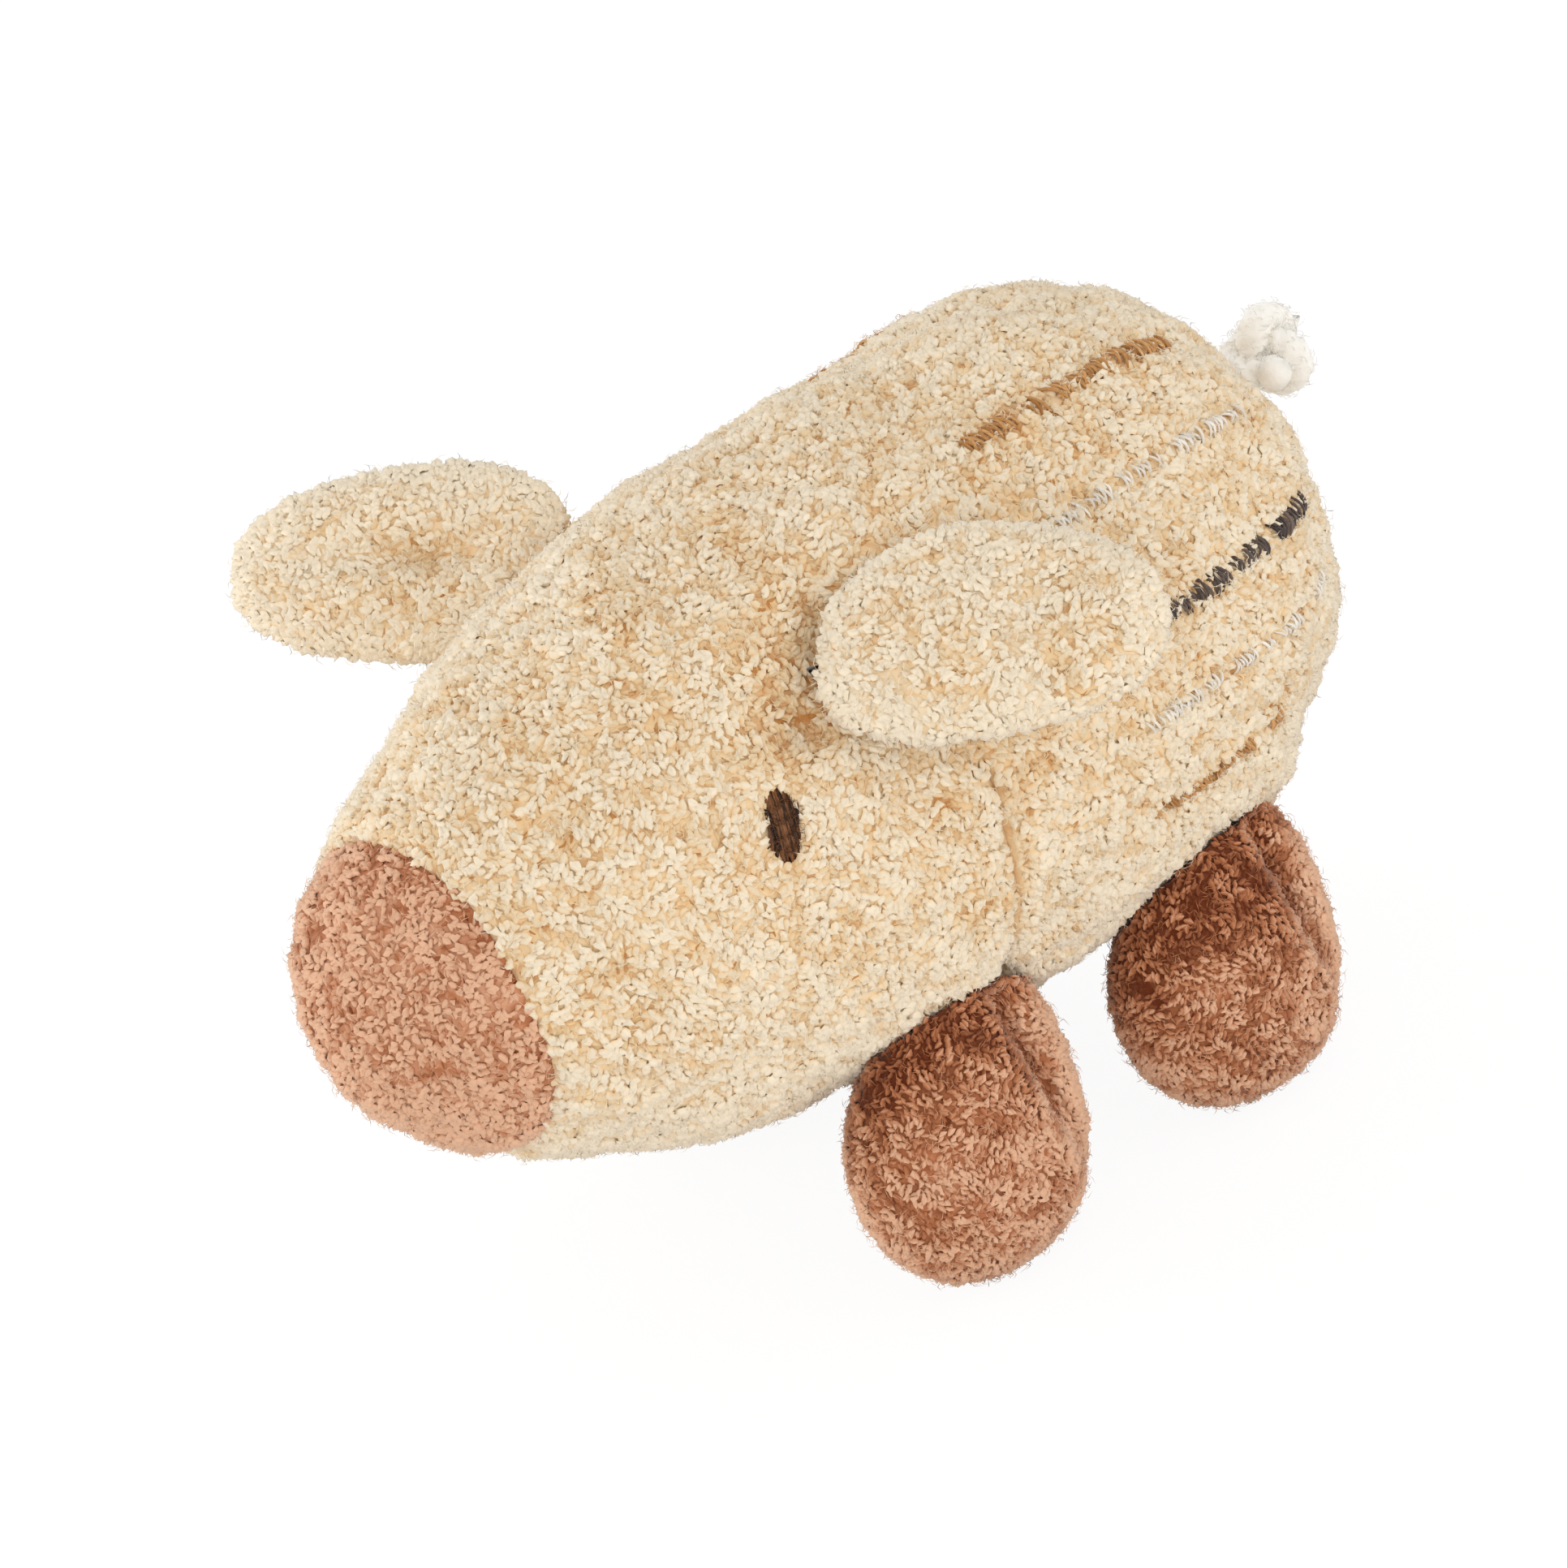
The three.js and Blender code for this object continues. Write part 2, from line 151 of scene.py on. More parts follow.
def belly_plan(x, y):
    """Under 1 inside the belly panel's outline, a superellipse seen from below."""
    across, along = np.abs(x) / BELLY_HALF_WIDTH, np.abs(y - BELLY_MIDDLE) / BELLY_HALF_LENGTH
    return (across ** BELLY_FULLNESS + along ** BELLY_FULLNESS) ** (1 / BELLY_FULLNESS)


def belly_edge(turn):
    """The angle from the top at which the side covers end and the belly panel starts."""
    radius, place = outline(turn)
    share = np.clip(1 - (np.abs(place - BELLY_MIDDLE) / BELLY_HALF_LENGTH) ** BELLY_FULLNESS, 0, 1)
    width = BELLY_HALF_WIDTH * share ** (1 / BELLY_FULLNESS)
    return np.pi - np.arcsin(np.clip(width / np.maximum(radius, 1e-6), 0, 1))


def ear_dip(points):
    """The hollow before each ear, from 0.55 at its upper end to 1 at its lower, and 0 round it: the
    depth there * exp(-(d / reach)^2), with d the distance from its middle line on the unrolled side."""
    flat = np.stack([np.arctan2(np.abs(points[..., 0]), points[..., 2]) * GIRTH_RADIUS, points[..., 1]], -1)
    first, last = (np.array([np.radians(angle) * GIRTH_RADIUS, place]) for angle, place in EAR_DIP_ENDS)
    share = np.clip((flat - first) @ (last - first) / ((last - first) @ (last - first)), 0, 1)
    away = flat - first - share[..., None] * (last - first)
    return np.exp(-(away ** 2).sum(-1) / EAR_DIP_REACH ** 2) * (0.55 + 0.45 * share)


def settled_depth(points):
    """How far the body lies in where the filling has settled: the sum of depth * exp(-(d / reach)^2),
    with d the distance from each place, across and along the body."""
    depth = 0
    for spot, across, along, deep in SETTLED:
        depth = depth + deep * np.exp(-((((points - spot) / [across, along, across]) ** 2).sum(-1)))
    return depth


def smooth_step(low, high, value):
    """0 below low, 1 above high, and 3s^2 - 2s^3 between them."""
    s = np.clip((value - low) / (high - low), 0, 1)
    return s * s * (3 - 2 * s)


def body_point(angle, turn, grow=0.0):
    """A point of the body at an angle from its top and a turn from the snout tip. It is moved out by
    grow, in at the seams, before the ears and where the filling has settled, and by the filling's lumps."""
    radius, place = outline(turn)
    x, z = radius * np.sin(angle), radius * np.cos(angle)
    flat = np.stack([x, place + 0 * x, z], -1)
    snout = SNOUT_SEAM_DEPTH * fade(place - SNOUT_SEAM, SEAM_REACH)
    shown = smooth_step(*NECK_SHOWN, np.abs((angle + np.pi) % (2 * np.pi) - np.pi))
    neck = NECK_SEAM_DEPTH * shown * fade(place - NECK_SEAM, SEAM_REACH)
    edge = (belly_plan(x, place) - 1) * BELLY_HALF_WIDTH
    belly = BELLY_SEAM_DEPTH * fade(edge, SEAM_REACH) * (z < 0)
    sunk = snout + neck + belly + EAR_DIP_DEPTH * ear_dip(flat) + settled_depth(flat)
    radius, place = outline(turn, grow + relief(flat, LUMPS) - sunk)
    return np.stack([radius * np.sin(angle), place + 0 * x, radius * np.cos(angle)], -1)


def framed(surface, u, v, centre, step=1e-3):
    """Points of a surface with two parameters, and their normals away from a centre and directions
    along u, from small steps of both parameters."""
    place = surface(u, v)
    ahead = surface(u + step, v) - surface(u - step, v)
    over = surface(u, v + step) - surface(u, v - step)
    normal = unit(np.cross(over, ahead))
    normal *= np.sign(((place - centre) * normal).sum(-1, keepdims=True))
    along = unit(ahead - (ahead * normal).sum(-1, keepdims=True) * normal)
    return place, normal, along


# Terry: a woven cotton ground with a pile of soft uncut loops, each a small arch of thick yarn. The
# loops lie in shallow locks, cream at their tops and browner towards the ground between them: painted
# shade, where less light reaches.
LOOP_TURNS = np.array([-0.6, 0.0, 0.6])  # places of a loop's rings between its two feet
LOOP_SWELL = np.array([0.85, 1.0, 0.85])  # thickness of each ring
RING_PLACES = ((0.0, 0.95), (-0.95, -0.45), (0.95, -0.45))  # a ring's points: sideways and outwards
LOOP_POINTS, FIBRE_POINTS = 11, 5
# These heights also set the pile's colour: lower points get painted shade.
POINT_RISE = np.array([0.25, 0.92, 0.58, 0.58, 1, 0.62, 0.62, 0.92, 0.58, 0.58, 0.25])  # height in a loop
LOOP_MAP = np.array([[0, 0.5], *([x, y] for x in (0.25, 0.5, 0.75) for y in (1, 0, 0.5)), [1, 0.5]])
LENGTHS, WIDTHS, HEIGHTS = (0.72, 1.3), (0.6, 1.25), (0.85, 1.15)  # ranges of a loop's sizes, as shares
BEND, LEAN = 0.28, 0.16  # spreads of a loop's bend to the side and lean ahead, for its length
FOOT_DEPTH = 0.25  # its feet lie this deep in the ground
LOCKS = ((0.3, 4.6, 22), (0.16, 2.6, 23))  # how much higher and lower locks of loops stand
SWIRL_SIZE, SWIRL, COMBED_SWIRL = 10, 1.5, 0.7  # how the loops' headings turn, free and combed
SCATTER = 0.5  # spread of the headings of neighbours
VEIN_SIZE, VEIN_WIDTH, VEIN_DEPTH = 5.4, 0.16, 0.45  # furrows: locks are about half this size wide
FLUFF_SHARE = 0.45  # loose fibres for each loop
FIBRE_SLOPES, FIBRE_LENGTHS = (0.05, 0.75), (0.5, 1.3)  # ranges of a fibre's rise and its length
FIBRE_BEND, FIBRE_ARCH, FIBRE_FOOT = 0.22, 0.16, 0.35  # shares of its length, and its foot's height
# painted shade: the fibres and the ground take the colour of loops at these heights
FLUFF_RISE, GROUND_RISE = 0.9, 0.54  # fibres and ground are tinted like loops at these heights
PATCHES = ((0.09, 17, 31), (0.06, 7, 32))  # paler and browner patches
SOFTNESS = 1.2  # how far the shading of the pile leans to that of the cloth under it
MAP_GROUND, MAP_LOOPS = 0.28, 0.3  # on the map the ground ends here, and the loops' cells start there


def triangles_of(grid):
    """The triangles between the rows and columns of a grid of vertex numbers."""
    a, b, c, d = grid[:-1, :-1], grid[1:, :-1], grid[1:, 1:], grid[:-1, 1:]
    return np.concatenate([np.stack([a, b, c], -1).reshape(-1, 3), np.stack([a, c, d], -1).reshape(-1, 3)])


def tubes(count, rows, sides):
    """The triangles of like tubes, each numbered as a point, rings of points and a point."""
    ring = 1 + np.arange(rows)[:, None] * sides + np.append(np.arange(sides), 0)
    last = rows * sides + 1
    faces = np.concatenate([
        triangles_of(ring),
        np.stack([np.zeros(sides, int), ring[0, :-1], ring[0, 1:]], -1),
        np.stack([np.full(sides, last), ring[-1, 1:], ring[-1, :-1]], -1),
    ])
    return (faces + (np.arange(count) * (last + 1))[:, None, None]).reshape(-1, 3)


def even_places(surface, u_range, v_range, per_square, rng, columns, rows):
    """Parameters of points spread evenly over a surface: strips of equal height along v, in which the
    points follow each other by equal areas along u, all shaken a little."""
    u_edges, v_edges = np.linspace(*u_range, columns + 1), np.linspace(*v_range, rows + 1)
    grid = surface(*np.meshgrid(u_edges, v_edges))
    across, down = np.diff(grid, axis=1)[:-1], np.diff(grid, axis=0)[:, :-1]
    area = np.linalg.norm(np.cross(across, down), axis=-1)
    height = np.concatenate([[0], np.cumsum(np.linalg.norm(down, axis=-1).max(1))])
    strips = max(1, round(height[-1] * np.sqrt(per_square)))
    cuts = np.interp(np.linspace(0, height[-1], strips + 1), height, v_edges)
    u_found, v_found = [], []
    so_far = np.vstack([np.zeros(columns), np.cumsum(area, 0)])
    for low, high in zip(cuts[:-1], cuts[1:]):
        at = np.interp([low, high], v_edges, np.arange(rows + 1))
        below = [so_far[int(k)] * (1 - k % 1) + so_far[min(int(k) + 1, rows)] * (k % 1) for k in at]
        total = np.concatenate([[0], np.cumsum(below[1] - below[0])])
        count = rng.poisson(0.02) + int(total[-1] * per_square + rng.uniform())
        wanted = (np.arange(count) + rng.uniform(-0.38, 0.38, count) + 0.5) / max(count, 1)
        u_found.append(np.interp(wanted * total[-1], total, u_edges))
        v_found.append(low + (high - low) * rng.uniform(0.05, 0.95, count))
    return np.concatenate(u_found), np.concatenate(v_found)


def veins(place):
    """1 along the thin furrows between locks, which are the winding zeros of smooth waves, and 0
    beside them."""
    return fade(waves(place, VEIN_SIZE, 24), VEIN_WIDTH)


def loops_on(place, normal, along, rng, length, width, height, flatten, comb):
    """Loops of pile as one mesh: each is a bent grain of three rings of three points between two feet.
    A ring at t lies at foot + along * length/2 * t + normal * height * (1 - t^2). comb is the heading
    that they are brushed to. Returns the points, the triangles and each point's height in the pile."""
    count = len(place)
    furrow = veins(place)
    place = place - VEIN_DEPTH * furrow[:, None] * normal
    swirl = COMBED_SWIRL if comb else SWIRL
    heading = comb + swirl * waves(place, SWIRL_SIZE, 21) + rng.normal(0, SCATTER, count)
    side = np.cross(normal, along)
    ahead = np.cos(heading)[:, None] * along + np.sin(heading)[:, None] * side
    side = np.cross(normal, ahead)
    half = (length * rng.uniform(*LENGTHS, count) / 2)[:, None, None]
    thick = (width * rng.uniform(*WIDTHS, count) * (1 - 0.25 * furrow) / 2)[:, None, None]
    lock = np.clip(1 + relief(place, LOCKS), 0.2, 1.7)
    tall = (height * lock * rng.uniform(*HEIGHTS, count) * (1 - 0.55 * furrow) * flatten)[:, None, None]
    bend = (rng.normal(0, BEND, count) * length)[:, None, None]
    lean = (rng.normal(0, LEAN, count) * length)[:, None, None]
    t = LOOP_TURNS[None, :, None]
    arch = 1 - t * t
    n, a, s, p = normal[:, None], ahead[:, None], side[:, None], place[:, None]
    middle = p + a * (half * t + lean * arch) + n * (tall * arch) + s * bend * arch
    over = unit(n * half + a * (2 * tall * t))
    radius = thick * LOOP_SWELL[None, :, None]
    ring = np.stack([middle + radius * (s * x + over * z) for x, z in RING_PLACES], 2)
    feet = [p - a * half - n * FOOT_DEPTH, p + a * half - n * FOOT_DEPTH]
    points = np.concatenate([feet[0], ring.reshape(count, 9, 3), feet[1]], 1)
    # Painted shade: taller loops are lighter, and loops in the furrows darker.
    top = np.clip(0.42 + 0.5 * tall[:, :, 0] / height, 0.55, 1.15) - 0.6 * furrow[:, None]
    return points.reshape(-1, 3), tubes(count, 3, 3)[:, ::-1], (POINT_RISE * top).reshape(-1)


def fluff_on(place, normal, rng, length=2.2, thick=0.055):
    """Loose fibres that the yarn has shed, as one mesh: each is a thin bent spindle from the pile, with
    a point at each end and three points round its middle, which lies to the side by its bend."""
    count = len(place)
    way = unit(rng.normal(size=(count, 3)))
    flat = unit(way - (way * normal).sum(-1, keepdims=True) * normal)
    rise = rng.uniform(*FIBRE_SLOPES, count)[:, None]
    reach = (length * rng.uniform(*FIBRE_LENGTHS, count))[:, None]
    side = np.cross(normal, flat)
    foot = place + normal * FIBRE_FOOT
    bend = rng.normal(0, FIBRE_BEND, count)[:, None] * reach
    tip = foot + reach * unit(flat + normal * rise)
    middle = (foot + tip) / 2 + side * bend + normal * FIBRE_ARCH * reach
    ring = np.stack([middle + thick * (side * x + normal * z) for x, z in RING_PLACES], 1)
    points = np.concatenate([foot[:, None], ring, tip[:, None]], 1)
    return points.reshape(-1, 3), tubes(count, 1, 3)[:, ::-1]


def welded(points, faces, uv):
    """A closed mesh whose points that share a place are joined, without the faces that this closes
    up, and with its faces turned outwards."""
    _, first, number = np.unique(np.round(points, 3), axis=0, return_index=True, return_inverse=True)
    joined = number.reshape(-1)[faces]
    kept = (joined != np.roll(joined, 1, 1)).all(1)
    points, faces, corners = points[first], joined[kept], uv[faces][kept]
    a, b, c = (points[faces[:, k]] for k in range(3))
    if (a * np.cross(b, c)).sum() < 0:
        faces, corners = faces[:, ::-1], corners[:, ::-1]
    return points, faces, corners


def piece_of(name, points, faces, corners, pile, material):
    """A smooth mesh object from points in millimetres, triangles, a map of their corners, and its tone,
    height in the pile, and patches and painted shade, each one value or one for each point."""
    mesh = bpy.data.meshes.new(name)
    mesh.vertices.add(len(points))
    mesh.loops.add(len(faces) * 3)
    mesh.polygons.add(len(faces))
    mesh.vertices.foreach_set("co", in_frame(points).astype(np.float32).ravel())
    mesh.loops.foreach_set("vertex_index", faces.astype(np.int32).ravel())
    mesh.polygons.foreach_set("loop_start", np.arange(0, len(faces) * 3, 3, dtype=np.int32))
    mesh.polygons.foreach_set("use_smooth", np.ones(len(faces), bool))
    mesh.update(calc_edges=True)
    mesh.uv_layers.new(name="OFBake").uv.foreach_set("vector", corners.astype(np.float32).ravel())
    colours = np.column_stack(np.broadcast_arrays(*pile, np.ones(len(points)))).astype(np.float32)
    mesh.attributes.new("pile", "FLOAT_COLOR", "POINT").data.foreach_set("color", colours.ravel())
    mesh.materials.append(material)
    made = bpy.data.objects.new(name, mesh)
    bpy.context.scene.collection.objects.link(made)
    return made


def soften(mesh, cloth):
    """Turns the shading normals of the pile, the last points of a mesh, towards the cloth under each:
    normal + softness * cloth. Light that is scattered among real fibres evens out in the same way."""
    normal = np.empty(len(mesh.vertices) * 3, np.float32)
    mesh.vertex_normals.foreach_get("vector", normal)
    normal = normal.reshape(-1, 3)
    normal[-len(cloth):] = unit(normal[-len(cloth):] + SOFTNESS * cloth)
    mesh.normals_split_custom_set_from_vertices(normal.tolist())


def terry_piece(name, ground, places, slot, seed, shade, length=1.65, width=1.35, height=0.42,
                flatten=1.0, comb=0.0, settle=None, deepest=0.0):
    """A terry piece: its closed ground (points, faces, corner map) and its loops at places on it
    (points, normals, directions). shade is the painted shade and light on its points, and deepest is
    the lowest tone that leaves. settle moves the finished points, such as onto the floor."""
    rng = np.random.default_rng(seed)
    points, faces, corners = ground
    loops, loop_faces, rise = loops_on(*places, rng, length, width, height, flatten, comb)
    count = len(places[0])
    shed = rng.permutation(count)[:int(count * FLUFF_SHARE)]
    foot, way = places[0][shed], places[1][shed]
    fluff, fluff_faces = fluff_on(foot, way, rng)
    yarns = np.repeat(rng.uniform(0, 1, count), LOOP_POINTS)
    tone = np.concatenate([np.full(len(points), 0.5), yarns, np.full(len(fluff), 0.5)])
    # Painted shade: the fibres and the ground are darker in the furrows.
    fluff_rise = np.repeat(FLUFF_RISE - 0.5 * veins(foot), FIBRE_POINTS)
    high = np.concatenate([GROUND_RISE - 0.3 * veins(points), rise, fluff_rise])

    # The corner map: the ground at the left, then a cell for each loop, which its fibre shares.
    across = int(np.ceil(np.sqrt(count * (1 - MAP_LOOPS))))
    cells, number = [across, int(np.ceil(count / across))], np.arange(count)
    place = np.stack([number % across, number // across], -1)[:, None] + 0.1 + 0.8 * LOOP_MAP
    loop_map = [MAP_LOOPS, 0] + place / cells * [1 - MAP_LOOPS, 1]
    fluff_map = np.repeat(loop_map[shed, 0], FIBRE_POINTS, 0)
    corners = np.concatenate([corners * [MAP_GROUND, 1], loop_map.reshape(-1, 2)[loop_faces],
                              fluff_map[fluff_faces]])

    faces = np.concatenate([faces, loop_faces + len(points), fluff_faces + len(points) + len(loops)])
    points = np.concatenate([points, loops, fluff])
    # Random paler and browner patches, darkened by painted shade and lightened by painted light.
    patches_and_painted_shade = np.clip(0.5 + relief(points, PATCHES) - shade(points), deepest, 1.4)
    if settle is not None:
        points = settle(points)
    made = piece_of(name, points, faces, corners, (tone, high, patches_and_painted_shade), terry[slot])
    soften(made.data, np.concatenate([np.repeat(places[1], LOOP_POINTS, 0), np.repeat(way, FIBRE_POINTS, 0)]))
    return made


def linear(hex_colour):
    """An sRGB hex value as a linear colour with alpha."""
    parts = [int(hex_colour[i:i + 2], 16) / 255 for i in (0, 2, 4)]
    return [c / 12.92 if c <= 0.04045 else ((c + 0.055) / 1.055) ** 2.4 for c in parts] + [1]


def node(tree, kind, settings=None, **inputs):
    """A shader node with its settings, whose inputs (named, or numbered as _0) take values or outputs."""
    made = tree.nodes.new("ShaderNode" + kind)
    for key, value in (settings or {}).items():
        setattr(made, key, value)
    for key, value in inputs.items():
        socket = made.inputs[int(key[1:]) if key[0] == "_" else key.replace("__", " ")]
        if isinstance(value, bpy.types.NodeSocket):
            tree.links.new(value, socket)
        else:
            socket.default_value = value
    return made


def new_material(name):
    """An empty node material and its tree."""
    material = bpy.data.materials.new(name)
    material.use_nodes = True
    material.node_tree.nodes.clear()
    return material, material.node_tree


def yarn_material(name, colours, start, mix, grain, bumps, **surface):
    """Yarn, whose colour runs along colours (place, sRGB hex) at a level: start, plus the tone, height, and
    patches and painted shade of the pile and the fluff, each times its gain in mix. The fluff is a noise with
    a grain (size in millimetres, detail, roughness) and raises bumps (strength, depth in millimetres)."""
    material, tree = new_material(name)
    pile = node(tree, "Attribute", {"attribute_name": "pile"}).outputs["Color"]
    split = node(tree, "SeparateColor", Color=pile).outputs
    size, detail, roughness = grain
    noise = node(tree, "TexNoise", Vector=node(tree, "TexCoord").outputs["Object"],
                 Scale=1 / (size * MM), Detail=detail, Roughness=roughness)
    fluff = noise.outputs["Fac"]
    sources = {"tone": split["Red"], "height": split["Green"], "patches_and_painted_shade": split["Blue"], "fluff": fluff}
    level = start
    for source, gain in mix.items():
        level = node(tree, "Math", {"operation": "MULTIPLY_ADD"},
                     _0=sources[source], _1=gain, _2=level).outputs[0]
    ramp = node(tree, "ValToRGB", Fac=level)
    stops = ramp.color_ramp.elements
    for stop, (place, colour) in zip(stops, (colours[0], colours[-1])):
        stop.position, stop.color = place, linear(colour)
    for place, colour in colours[1:-1]:
        stops.new(place).color = linear(colour)
    strength, depth = bumps
    bump = node(tree, "Bump", Height=fluff, Strength=strength, Distance=depth * MM)
    shader = node(tree, "BsdfPrincipled", Base__Color=ramp.outputs["Color"],
                  Normal=bump.outputs["Normal"], **surface)
    node(tree, "OutputMaterial", Surface=shader.outputs[0])
    return material


# Looped cotton terry: a matt yarn whose tops are pale and dry, and whose loops turn warmer and deeper
# towards the ground as painted shade. Loops differ a little in dye. Each hair is finer than a pixel, so
# the yarn's fluff is drawn as a 0.7 mm grain and a pale sheen.
# the root and middle stops are painted shade on the lower parts of the pile
TERRY_COLOURS = {
    "cream_terry": ((0.1, "cb8f52"), (0.48, "f1d2a4"), (0.95, "fdeed4")),
    "terracotta_terry": ((0.14, "6f3418"), (0.54, "bf7b53"), (0.95, "edbd9b")),
}
terry = {
    slot: yarn_material(
        slot.replace("_terry", "_cotton_terry"), colours, -0.39,
        {"height": 1.0, "tone": 0.14, "patches_and_painted_shade": 0.5, "fluff": 0.2}, grain=(0.7, 3.0, 0.6), bumps=(0.35, 0.25),
        Roughness=0.95, Specular__IOR__Level=0.2,
        Sheen__Weight=0.5, Sheen__Roughness=0.45, Sheen__Tint=linear("fff6ea"),
    )
    for slot, colours in TERRY_COLOURS.items()
}

# Covers of the body: the snout cap, the head cover and the torso cover follow each other, the last two
# cut open below for the belly panel. They are sewn together inside out, turned and stuffed, so the
# seams sink into the pile.
BODY_DENSITY = 1.15  # loops for each square millimetre
BODY_CORE = [0, 90, 0]
SNOUT_BARE, HEAD_BARE, BELLY_BARE = 0.3, 0.05, 0.1  # no loop stands nearer to the seams than this
NECK_BARE, TOP_BARE = 0.8, 0.1  # and at the neck seam, low on the sides and at the top
SNOUT_ROWS, HEAD_ROWS, TORSO_ROWS, BELLY_ROWS = 1.3, 1.3, 1.4, 1.6  # between rows of the ground's points
# Painted shade browns the hollows before the ears, the back and the neck seam; painted light from the floor
# makes the flanks' foot paler. The snout is paler.
EAR_HOLLOW_SHADE, TOP_SHADE, LOW_SHADE, SEAM_SHADE, SNOUT_SHADE = 0.9, 0.1, -0.26, 0.5, -0.3
SEAM_PATCH = np.array([47.0, 91.0, 2.0])  # a spot of painted shade in the neck seam's crevice under the near ear
EDGE_GAP = 0.03  # half of the gap between two covers where they are sewn
COVER_COLUMNS = 130


def meridian(start, end, spacing):
    """Turns from start to end whose places on the outline are evenly spaced."""
    fine = np.linspace(start, end, 400)
    radius, place = outline(fine)
    run = np.concatenate([[0], np.cumsum(np.hypot(np.diff(radius), np.diff(place)))])
    return np.interp(np.linspace(0, run[-1], max(4, int(run[-1] / spacing))), run, fine)


def cover_ground(turns, lowest, highest):
    """The ground of a cover as a closed shell: its outer face between two angles for each turn, its
    inner face, and walls along its edges except where both of its edges meet."""
    share = np.linspace(0, 1, COVER_COLUMNS + 1)
    angles = lowest[:, None] + (highest - lowest)[:, None] * share
    rows = np.repeat(turns[:, None], COVER_COLUMNS + 1, 1)
    shell = np.concatenate([body_point(angles, rows, GROUND - deep).reshape(-1, 3) for deep in (0, CLOTH)])
    grid = np.arange(angles.size).reshape(angles.shape)
    inner = grid + grid.size
    parts = [triangles_of(grid), triangles_of(inner)[:, ::-1]]
    for out_edge, in_edge in ((grid[0], inner[0]), (inner[-1], grid[-1])):
        parts.append(triangles_of(np.stack([in_edge, out_edge])))
    apart = (highest - lowest) < 2 * np.pi - 1e-6
    wall = apart[:-1] | apart[1:]
    for k, flip in ((0, 1), (-1, -1)):
        edge = triangles_of(np.stack([grid[:, k], inner[:, k]])).reshape(2, -1, 3)
        parts.append(edge[:, wall].reshape(-1, 3)[:, ::flip])
    uv = np.stack(np.meshgrid(share, np.linspace(0, 1, len(turns))), -1).reshape(-1, 2)
    return welded(shell, np.concatenate(parts), np.concatenate([uv, uv * 0.999]))


def ground_point(angle, turn):
    """A point on the face of the ground, where loops stand."""
    return body_point(angle, turn, GROUND)


body_rng = np.random.default_rng(5)
loop_angles, loop_turns = even_places(
    ground_point, (-np.pi, np.pi), (0.004, np.pi - 0.004), BODY_DENSITY, body_rng, 260, 420
)
loop_radius, loop_place = outline(loop_turns)
under = np.cos(loop_angles) < 0
past_panel = (belly_plan(loop_radius * np.sin(loop_angles), loop_place) - 1) * BELLY_HALF_WIDTH
on_belly = under & (past_panel < -BELLY_BARE)
on_side = ~(under & (past_panel < BELLY_BARE))
neck_bare = TOP_BARE + (NECK_BARE - TOP_BARE) * smooth_step(*NECK_SHOWN, np.abs(loop_angles))

# Stripes and eyes are satin stitch worked through the pile, which lies flat under it: their places
# come first, because the loops there are short.
EYE_ANGLE, EYE_PLACE, EYE_HEIGHT, EYE_WIDTH = np.radians(69.4), 55.7, 11.2, 5.0
EYE_SLANT = 1.1  # the eye's top end lies this far back, and its foot this far forward
STRIPES = {  # degrees from the top, first and last place along the body, width and thread
    "upper_brown": (31.0, 113.0, 157.5, 4.4, "brown_thread"),
    "upper_white": (51.5, 113.0, 158.0, 3.4, "white_thread"),
    "dark": (74.5, 113.0, 160.0, 4.0, "dark_thread"),
    "lower_white": (90.0, 113.0, 158.0, 3.2, "white_thread"),
    "lower_amber": (108.5, 113.0, 142.5, 2.7, "amber_thread"),
}
FLAT_BY_EYE, FLAT_IN_STRIPE = 0.3, 0.25  # the height of the loops there, as a share
STANDING = 0.4  # this share of a stripe's loops comes up between its threads
radius_at_eye = outline(turn_at(EYE_PLACE))[0]
eye_up = (EYE_ANGLE - np.abs(loop_angles)) * radius_at_eye / (EYE_HEIGHT / 2)
eye_reach = np.hypot(eye_up, (loop_place - EYE_PLACE - EYE_SLANT * eye_up) / (EYE_WIDTH / 2))
flattened = np.where(eye_reach < 1.05, FLAT_BY_EYE, 1.0)
on_side &= eye_reach > 0.98
stands_up = body_rng.uniform(0, 1, len(loop_turns)) < STANDING
for degrees, start, end, wide, _ in STRIPES.values():
    off = np.abs(np.abs(loop_angles) - np.radians(degrees)) * loop_radius
    inside = (off < wide * 0.4) & (loop_place > start) & (loop_place < end) & ~stands_up
    flattened = np.where(inside, FLAT_IN_STRIPE, flattened)


def body_shade(points):
    """How much browner the pile is: painted shade in the hollows before the ears, along the neck seam
    and at a spot of its crevice, and along the back, where less light falls. Painted light from the
    floor makes the flanks' foot paler, and the snout is paler."""
    height = points[:, 2] / np.maximum(np.hypot(points[:, 0], points[:, 2]), 1e-6)
    darkened = fade(np.linalg.norm((points - SEAM_PATCH) * [1, 1, 0.6], axis=1), 4)
    # painted shade along the neck seam's crevice, low on the sides
    darkened += fade(points[:, 1] - NECK_SEAM, 0.9) * smooth_step(-0.3, 0.1, 0.3 - height)
    return (EAR_HOLLOW_SHADE * ear_dip(points) + SEAM_SHADE * darkened + TOP_SHADE * smooth_step(0.2, 0.9, height)
            + LOW_SHADE * smooth_step(0.1, 0.8, -height) + SNOUT_SHADE * (points[:, 1] < SNOUT_SEAM))


def cover(name, turns, lowest, highest, chosen, slot, seed, *nodes, **pile):
    """A stuffed cover of the body with the loops that are chosen for it, in place of CAD nodes."""
    places = framed(ground_point, loop_angles[chosen], loop_turns[chosen], BODY_CORE)
    made = terry_piece(name, cover_ground(turns, lowest, highest), places, slot, seed, body_shade,
                       flatten=flattened[chosen], **pile)
    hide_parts(*nodes)
    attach(made, "body")


